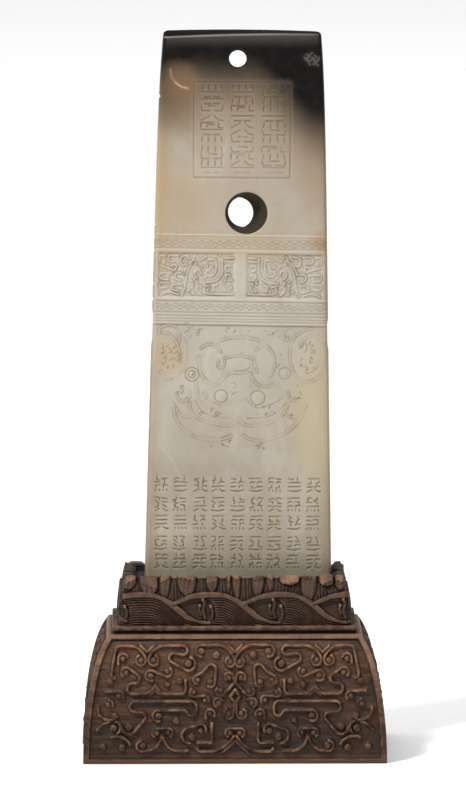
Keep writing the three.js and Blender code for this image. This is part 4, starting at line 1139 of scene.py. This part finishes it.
def make_stand():
    reliefs = {kind: stand_face(kind) for kind in STAND_FACES}
    mesh, bm = wrapped_sheet("wood_stand_block", stand_places(reliefs))
    piece = thinned("wood_stand_block", mesh, bm)
    x, y, z = places_of(piece).T
    gap_x = stand_half(base_half_x, COLLAR_WIDTH, z) - np.abs(x)
    gap_y = stand_half(base_half_y, COLLAR_DEPTH, z) - np.abs(y)
    on_side = gap_x < gap_y
    hollow, proud, pale = (np.zeros_like(x) for _ in range(3))
    for kind, pick, along in (("front", ~on_side & (y < 0), x), ("back", ~on_side & (y >= 0), -x),
                              ("right", on_side & (x > 0), y), ("left", on_side & (x <= 0), -y)):
        relief = reliefs[kind]
        for marks, values in ((hollow, relief.hollow), (proud, relief.proud), (pale, relief.pale)):
            marks[pick] = relief.at(values, along, z)[pick]
    inside = (np.minimum(gap_x, gap_y) > 3.2) & (z > RIB_TOP)
    groove = (z > BASE_HEIGHT + 0.12) & (z < RIB_TOP - RIB_HEIGHT - 0.1)
    rib = (z >= RIB_TOP - RIB_HEIGHT) & (z < RIB_TOP - 0.1)
    # Painted shade in the well's inner walls and in the groove under the rib; the rib is rubbed light, partly
    # as a painted highlight.
    for marks, part, depth in ((hollow, inside, 0.25), (proud, inside, 0), (pale, inside, 0),
                               (hollow, groove, 0.35), (proud, rib, 0.25), (hollow, rib, 0)):
        marks[part] = depth
    set_values(piece, "hollow", np.clip((hollow - HOLLOW_FROM) * HOLLOW_GAIN, 0, 1))
    set_values(piece, "proud", np.clip((proud - PROUD_FROM) * PROUD_GAIN, 0, 1))
    set_values(piece, "pale", pale)
    # Painted shade: the stand's sides and the well's inner walls are darkened.
    set_values(piece, "dark", np.maximum(on_side * step_up(gap_y, 0.3, 2.0), inside))
    piece.data.materials.append(wood_material())
    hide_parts("wood_stand")
    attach(piece, "root")


# Materials. Tones are in 0 to 255, and lengths in metres where nothing else is said.

# Tones up the slab by height in metres; the lowest, just above the stand, are darker as painted shade from
# its collar.
JADE_TONES_AND_FOOT_SHADE = (
    (0.075, (150, 140, 121)), (0.092, (147, 137, 121)), (0.12, (156, 146, 131)), (0.15, (165, 156, 141)),
    (0.19, (174, 167, 156)), (0.215, (178, 170, 160)), (0.235, (169, 159, 143)), (0.262, (162, 149, 133)),
    (0.285, (150, 137, 118)), (0.31, (133, 119, 99)),
)
TONES_END = 0.33
# Stains on the jade: middle, half width and half height in millimetres, strength and tone.
JADE_STAINS = (
    (-37, 268, 8, 32, 0.7, (172, 144, 108)), (41, 229, 7, 5, 0.7, (158, 124, 84)),
    (-29, 291, 13, 12, 0.7, (108, 86, 64)), (-24, 247, 13, 16, 0.45, (170, 146, 112)),
    (4, 228, 22, 7, 0.3, (186, 158, 116)), (-33, 225, 6, 14, 0.35, (170, 142, 104)),
    (36, 259, 7, 22, 0.3, (150, 124, 94)), (-28, 100, 9, 6, 0.25, (198, 186, 160)),
    (36, 152, 11, 32, 0.45, (190, 176, 140)), (10, 298, 24, 7, 0.35, (112, 92, 70)),
)
SLAB_MIDDLE = 0.0022


class Shader:
    """A material's nodes, added one by one, with its colour so far."""

    def __init__(self, name):
        self.material = bpy.data.materials.new(name)
        self.material.use_nodes = True
        self.tree = self.material.node_tree
        self.surface = self.tree.nodes["Principled BSDF"]
        self.place = self.add("ShaderNodeTexCoord").outputs["Object"]
        self.x, self.y, self.z = self.add("ShaderNodeSeparateXYZ", {0: self.place}).outputs
        self.colour = None

    def add(self, kind, inputs=(), **settings):
        node = self.tree.nodes.new(kind)
        for name, value in settings.items():
            setattr(node, name, value)
        for name, value in dict(inputs).items():
            self.put(node.inputs[name], value)
        return node

    def put(self, socket, value):
        if isinstance(value, bpy.types.NodeSocket):
            self.tree.links.new(value, socket)
        else:
            socket.default_value = value

    def math(self, operation, a, b=0.0, c=0.0):
        return self.add("ShaderNodeMath", {0: a, 1: b, 2: c}, operation=operation).outputs[0]

    def times(self, a, b):
        return self.math("MULTIPLY", a, b)

    def plus(self, value, share, amount):
        """The value with so much of a share added."""
        return self.math("MULTIPLY_ADD", share, amount, value)

    def swayed(self, value, noise, reach):
        """The value, moved up and down by the noise."""
        return self.plus(value, self.math("SUBTRACT", noise, 0.5), reach)

    def rise(self, value, low, high, start=0.0, end=1.0):
        """A soft rise from start to end as the value goes from low to high."""
        return self.add("ShaderNodeMapRange", {0: value, 1: low, 2: high, 3: start, 4: end},
                        interpolation_type="SMOOTHSTEP").outputs[0]

    def noise(self, scale, detail=4.0, rough=0.55, stretch=(1, 1, 1), distort=0.0):
        """Noise over the object, with scale in patches per metre."""
        place = self.add("ShaderNodeMapping", {"Vector": self.place, "Scale": stretch}).outputs[0]
        made = self.add("ShaderNodeTexNoise", {"Vector": place, "Scale": scale, "Detail": detail,
                                               "Roughness": rough, "Distortion": distort})
        return made.outputs["Fac"]

    def mix(self, share, a, b):
        """From one colour to another. Each is a tone or a socket."""
        node = self.add("ShaderNodeMix", data_type="RGBA")
        self.put(node.inputs[0], share)
        for socket, value in ((node.inputs[6], a), (node.inputs[7], b)):
            self.put(socket, srgb(*value) if isinstance(value, tuple) else value)
        return node.outputs[2]

    def tint(self, share, tone, strength=None):
        """Lays a tone over the colour so far."""
        share = share if strength is None else self.times(share, strength)
        self.colour = self.mix(share, self.colour, tone)

    def value(self, name):
        return self.add("ShaderNodeAttribute", attribute_name=name).outputs["Fac"]

    def spot(self, x, z, wide, high, soft, wobble, noise):
        """1 inside an oval on the front and back, in millimetres, with a soft and uneven edge."""
        across = self.math("DIVIDE", self.math("SUBTRACT", self.x, x * MM), wide * MM)
        up = self.math("DIVIDE", self.math("SUBTRACT", self.z, z * MM), high * MM)
        away = self.math("SQRT", self.math("ADD", self.times(across, across), self.times(up, up)))
        return self.rise(self.swayed(away, noise, wobble), 1 - soft, 1 + soft, 1.0, 0.0)

    def finish(self, roughness, specular, relief, depth, strength):
        """Joins the colour, the roughness and the finest relief to the surface."""
        bump = self.add("ShaderNodeBump", {"Height": relief, "Distance": depth, "Strength": strength})
        for name, value in (("Base Color", self.colour), ("Roughness", roughness),
                            ("Specular IOR Level", specular), ("Normal", bump.outputs[0])):
            self.put(self.surface.inputs[name], value)
        return self.material


def jade_stone(s, cloud, patch):
    """The pale stone, its tones up the slab, darker just above the stand as painted shade, its clouds and its
    veins.
    """
    ramp = s.add("ShaderNodeValToRGB")
    elements = ramp.color_ramp.elements
    while len(elements) < len(JADE_TONES_AND_FOOT_SHADE):
        elements.new(0.5)
    for element, (level, tone) in zip(elements, JADE_TONES_AND_FOOT_SHADE):
        element.position = level / TONES_END
        element.color = srgb(*tone)
    s.put(ramp.inputs[0], s.math("DIVIDE", s.swayed(s.z, cloud, 0.02), TONES_END))
    s.colour = ramp.outputs[0]
    s.tint(s.rise(cloud, 0.35, 0.7, 0.0, 0.3), (200, 192, 178))
    s.tint(s.rise(patch, 0.5, 0.75, 0.0, 0.35), (176, 158, 128))
    veins = s.noise(34, 6, 0.65, (1.2, 1.0, 0.8), 1.2)
    s.tint(s.rise(veins, 0.5, 0.64, 0.0, 0.16), (206, 200, 190))
    s.tint(s.rise(veins, 0.46, 0.34, 0.0, 0.22), (158, 142, 114))


def jade_stains_and_side_shade(s, on_front, cloud, fine):
    """Brown stains along the edges, under the black head and in the left ear of the mask, and painted shade
    on the slab's rounded sides.
    """
    edge = s.math("ABSOLUTE", s.math("SUBTRACT", s.x, SLAB_MIDDLE))
    s.tint(s.rise(edge, 0.033, 0.042, 0.0, 0.6), (146, 122, 90))
    # Painted shade on the slab's rounded sides.
    s.tint(s.value("side"), (98, 80, 58), 0.6)
    s.tint(s.times(on_front, s.spot(-29, 179, 7, 9, 0.6, 0.9, fine)), (176, 152, 112), 0.5)
    for across, up, wide, high, strength, tone in JADE_STAINS:
        s.tint(s.spot(across, up, wide, high, 0.6, 0.8, cloud), tone, strength)
    s.tint(s.rise(fine, 0.6, 0.75, 0.0, 0.1), (140, 120, 92))


def jade_smoke_and_painted_light(s, on_front, on_top, cloud, patch, fine):
    """The smoked head, black at its top and reaching lower at the right, with a scorch at the left. It
    carries painted light too: a highlight along and below its front edge, and shade on its top face.
    """
    level = s.swayed(s.swayed(s.z, patch, 0.012), cloud, 0.010)
    level = s.math("ADD", level, s.rise(s.x, 0.004, 0.041, 0.0, 0.024))
    level = s.math("ADD", level, s.rise(s.x, -0.014, -0.036, 0.0, 0.007))
    s.tint(s.rise(level, 0.262, 0.303, 0.0, 0.6), (130, 110, 86))
    scorch = s.times(on_front, s.spot(-24, 300, 6.5, 7, 0.8, 1.6, cloud))
    smoke = s.times(s.rise(level, 0.284, 0.3145), s.math("SUBTRACT", 1.0, s.times(scorch, 0.45)))
    black = s.mix(s.rise(fine, 0.4, 0.8), (12, 8, 8), (28, 21, 19))
    # The head's top face is made darker than the smoke: painted shade.
    black = s.mix(on_top, black, (4, 2, 2))
    # A painted highlight on the black just below the head's front edge, fading downwards.
    painted_highlight = s.times(s.rise(s.y, -0.0045, -0.0052), s.rise(s.z, 0.3155, 0.3235, 0.0, 0.62))
    s.tint(smoke, s.mix(painted_highlight, black, (92, 85, 82)))
    s.tint(scorch, (126, 92, 62), 0.42)
    # The pale value: the crack in beige, and the scuffs and the painted highlight along the head's front edge
    # in grey.
    grey = s.math("MAXIMUM", s.rise(s.x, -0.015, 0.0), s.rise(s.z, 0.311, 0.315))
    s.tint(s.value("pale"), s.mix(grey, (190, 154, 114), (158, 150, 144)))


def jade_carving(s):
    """Brown hollows, a painted highlight on high places, gilt in the cuts with painted shade along the feet
    of ridges, and the dark bores.
    """
    s.tint(s.math("MINIMUM", s.times(s.value("hollow"), 0.4), 0.5), (150, 126, 86))
    # A painted highlight on the carving's high places.
    s.tint(s.math("MINIMUM", s.times(s.value("proud"), 0.3), 0.3), (222, 216, 200))
    gilt = s.mix(s.rise(s.z, 0.14, 0.2), (106, 84, 35), (104, 88, 60))
    gilt = s.mix(s.rise(s.z, 0.268, 0.292), gilt, (66, 54, 41))
    # The ink tints both the cuts' gilt and the painted shade along the feet of ridges.
    s.tint(s.math("MINIMUM", s.value("ink"), 0.9), gilt)
    s.tint(s.value("bore"), (34, 24, 16), 0.94)


def jade_material():
    """Pale worn nephrite, smoked black at the head, with brown stains and gilt strokes."""
    s = Shader("jade, pale and smoked")
    cloud = s.noise(22, 5, 0.6)
    patch = s.noise(9, 4, 0.5, distort=0.6)
    fine = s.noise(160, 5, 0.65)
    on_front = s.rise(s.y, 0.0, -0.004)
    # The head's top face, which gets painted shade and full roughness.
    on_top = s.times(s.rise(s.y, -0.0050, -0.0040), s.rise(s.z, 0.3175, 0.3205))
    jade_stone(s, cloud, patch)
    jade_stains_and_side_shade(s, on_front, cloud, fine)
    jade_smoke_and_painted_light(s, on_front, on_top, cloud, patch, fine)
    jade_carving(s)
    for name, value in (("Weight", 0.1), ("Radius", (0.004, 0.003, 0.002)), ("Scale", 0.4)):
        s.put(s.surface.inputs["Subsurface " + name], value)
    dull = s.math("MAXIMUM", s.value("bore"), s.plus(0.27, fine, 0.18))
    return s.finish(s.math("MAXIMUM", dull, on_top), 0.17, fine, 0.00012, 0.5)


def wood_grain_and_painted_light(s, grain, pores):
    """Streaked wood, its grain running across, with pores and fine cracks, lighter higher up as painted light
    from above, and darker at the foot as painted shade.
    """
    streak = s.noise(26, 4, 0.5, (1.0, 14.0, 14.0), 0.6)
    cracks = s.noise(150, 5, 0.7, (1.0, 6.0, 6.0), 0.3)
    s.colour = s.mix(s.rise(grain, 0.3, 0.72), (35, 23, 16), (92, 60, 40))
    s.tint(s.rise(streak, 0.48, 0.68, 0.0, 0.6), (118, 76, 49))
    # Painted light: the base grows lighter higher up, where it faces the light from above.
    s.tint(s.rise(s.z, 0.026, 0.054, 0.0, 0.6), s.mix(grain, (70, 47, 33), (122, 84, 59)))
    s.tint(s.rise(pores, 0.54, 0.66, 0.0, 0.6), (24, 16, 12))
    s.tint(s.rise(cracks, 0.56, 0.64, 0.0, 0.75), (20, 14, 11))
    s.tint(s.rise(cracks, 0.44, 0.36, 0.0, 0.55), (136, 92, 60))
    s.tint(s.rise(s.noise(30, 4, 0.55), 0.4, 0.75, 0.0, 0.35), (54, 37, 27))
    # Painted shade: darker towards the foot.
    s.tint(s.rise(s.z, 0.004, 0.05, 0.5, 0.0), (34, 24, 17))
    s.tint(s.rise(s.z, 0.0045, 0.0035, 0.0, 0.45), (112, 78, 54))


def wood_material():
    """Dark waxed hardwood: its hollows darkened by grime and painted shade, painted shade on its sides and in
    the well, and its high places rubbed light with a painted highlight.
    """
    s = Shader("hardwood, dark and waxed")
    grain = s.noise(90, 6, 0.65, (1.0, 9.0, 9.0), 0.4)
    pores = s.noise(420, 3, 0.6, (1.0, 10.0, 10.0))
    specks = s.noise(260, 5, 0.7)
    wood_grain_and_painted_light(s, grain, pores)
    # High places rubbed light: partly wear, partly a painted highlight.
    s.tint(s.times(s.value("proud"), s.rise(specks, 0.42, 0.62, 0.0, 0.8)), (176, 132, 98))
    s.tint(s.rise(s.z, 0.0596, 0.0604), (44, 33, 26), 0.66)
    s.tint(s.times(s.value("pale"), s.rise(specks, 0.32, 0.62, 0.3, 1.0)), (154, 120, 96))
    # Painted shade on the sides and in the well.
    s.tint(s.value("dark"), (24, 18, 14), 0.5)
    # Hollows darkened nearly to black: grime and painted shade.
    s.tint(s.value("hollow"), (17, 11, 8), 0.95)
    gloss = s.plus(s.plus(s.plus(0.26, specks, 0.3), s.value("proud"), -0.14), s.value("dark"), 0.35)
    relief = s.plus(s.plus(s.times(grain, 0.6), specks, 0.3), pores, 0.5)
    return s.finish(gloss, 0.25, relief, 0.0006, 0.9)


# The room: a pale floor, soft lamps and the photograph's view.

CAMERA_AZIMUTH, CAMERA_ELEVATION, CAMERA_AWAY = math.radians(-0.85), math.radians(7.5), 3.2
FRAME_HEIGHT, SENSOR = 0.3576, 36
AIM = Vector((-0.0004, 0.0, 0.1582))
# Lamps: name, place, aim, size and power.
LAMPS = (
    ("ceiling", (0, 2.3, 2.8), (0, 2.3, 0), 8.0, 284),
    ("key", (-0.8, -0.8, 1.6), (0, 0, 0.12), 0.25, 30),
)
WORLD_STRENGTH = 0.14


def make_floor():
    mesh = bpy.data.meshes.new("floor")
    bm = bmesh.new()
    bmesh.ops.create_grid(bm, x_segments=1, y_segments=1, size=6)
    bm.to_mesh(mesh)
    bm.free()
    floor = bpy.data.objects.new("floor", mesh)
    bpy.context.scene.collection.objects.link(floor)
    s = Shader("pale floor")
    s.surface.inputs["Base Color"].default_value = (0.9, 0.9, 0.9, 1)
    s.surface.inputs["Roughness"].default_value = 0.9
    mesh.materials.append(s.material)


def make_lamp(name, place, aim, size, power):
    data = bpy.data.lights.new(name, "AREA")
    data.size, data.energy = size, power
    lamp = bpy.data.objects.new(name, data)
    lamp.location = place
    lamp.rotation_euler = (Vector(aim) - Vector(place)).to_track_quat("-Z", "Y").to_euler()
    bpy.context.scene.collection.objects.link(lamp)


def make_camera():
    data = bpy.data.cameras.new("camera")
    data.sensor_width = SENSOR
    data.lens = SENSOR * CAMERA_AWAY / FRAME_HEIGHT
    data.clip_end = 50
    camera = bpy.data.objects.new("camera", data)
    flat = math.cos(CAMERA_ELEVATION)
    back = Vector((math.sin(CAMERA_AZIMUTH) * flat, -math.cos(CAMERA_AZIMUTH) * flat,
                   math.sin(CAMERA_ELEVATION)))
    camera.location = AIM + back * CAMERA_AWAY
    camera.rotation_euler = (-back).to_track_quat("-Z", "Y").to_euler()
    bpy.context.scene.collection.objects.link(camera)
    bpy.context.scene.camera = camera


def make_room():
    world = bpy.data.worlds.new("soft light")
    bpy.context.scene.world = world
    world.use_nodes = True
    light = world.node_tree.nodes["Background"].inputs
    light["Color"].default_value = (1, 1, 1, 1)
    light["Strength"].default_value = WORLD_STRENGTH
    bpy.context.scene.view_settings.view_transform = "Standard"
    make_floor()
    for lamp in LAMPS:
        make_lamp(*lamp)
    make_camera()


make_jade()
make_stand()
make_room()
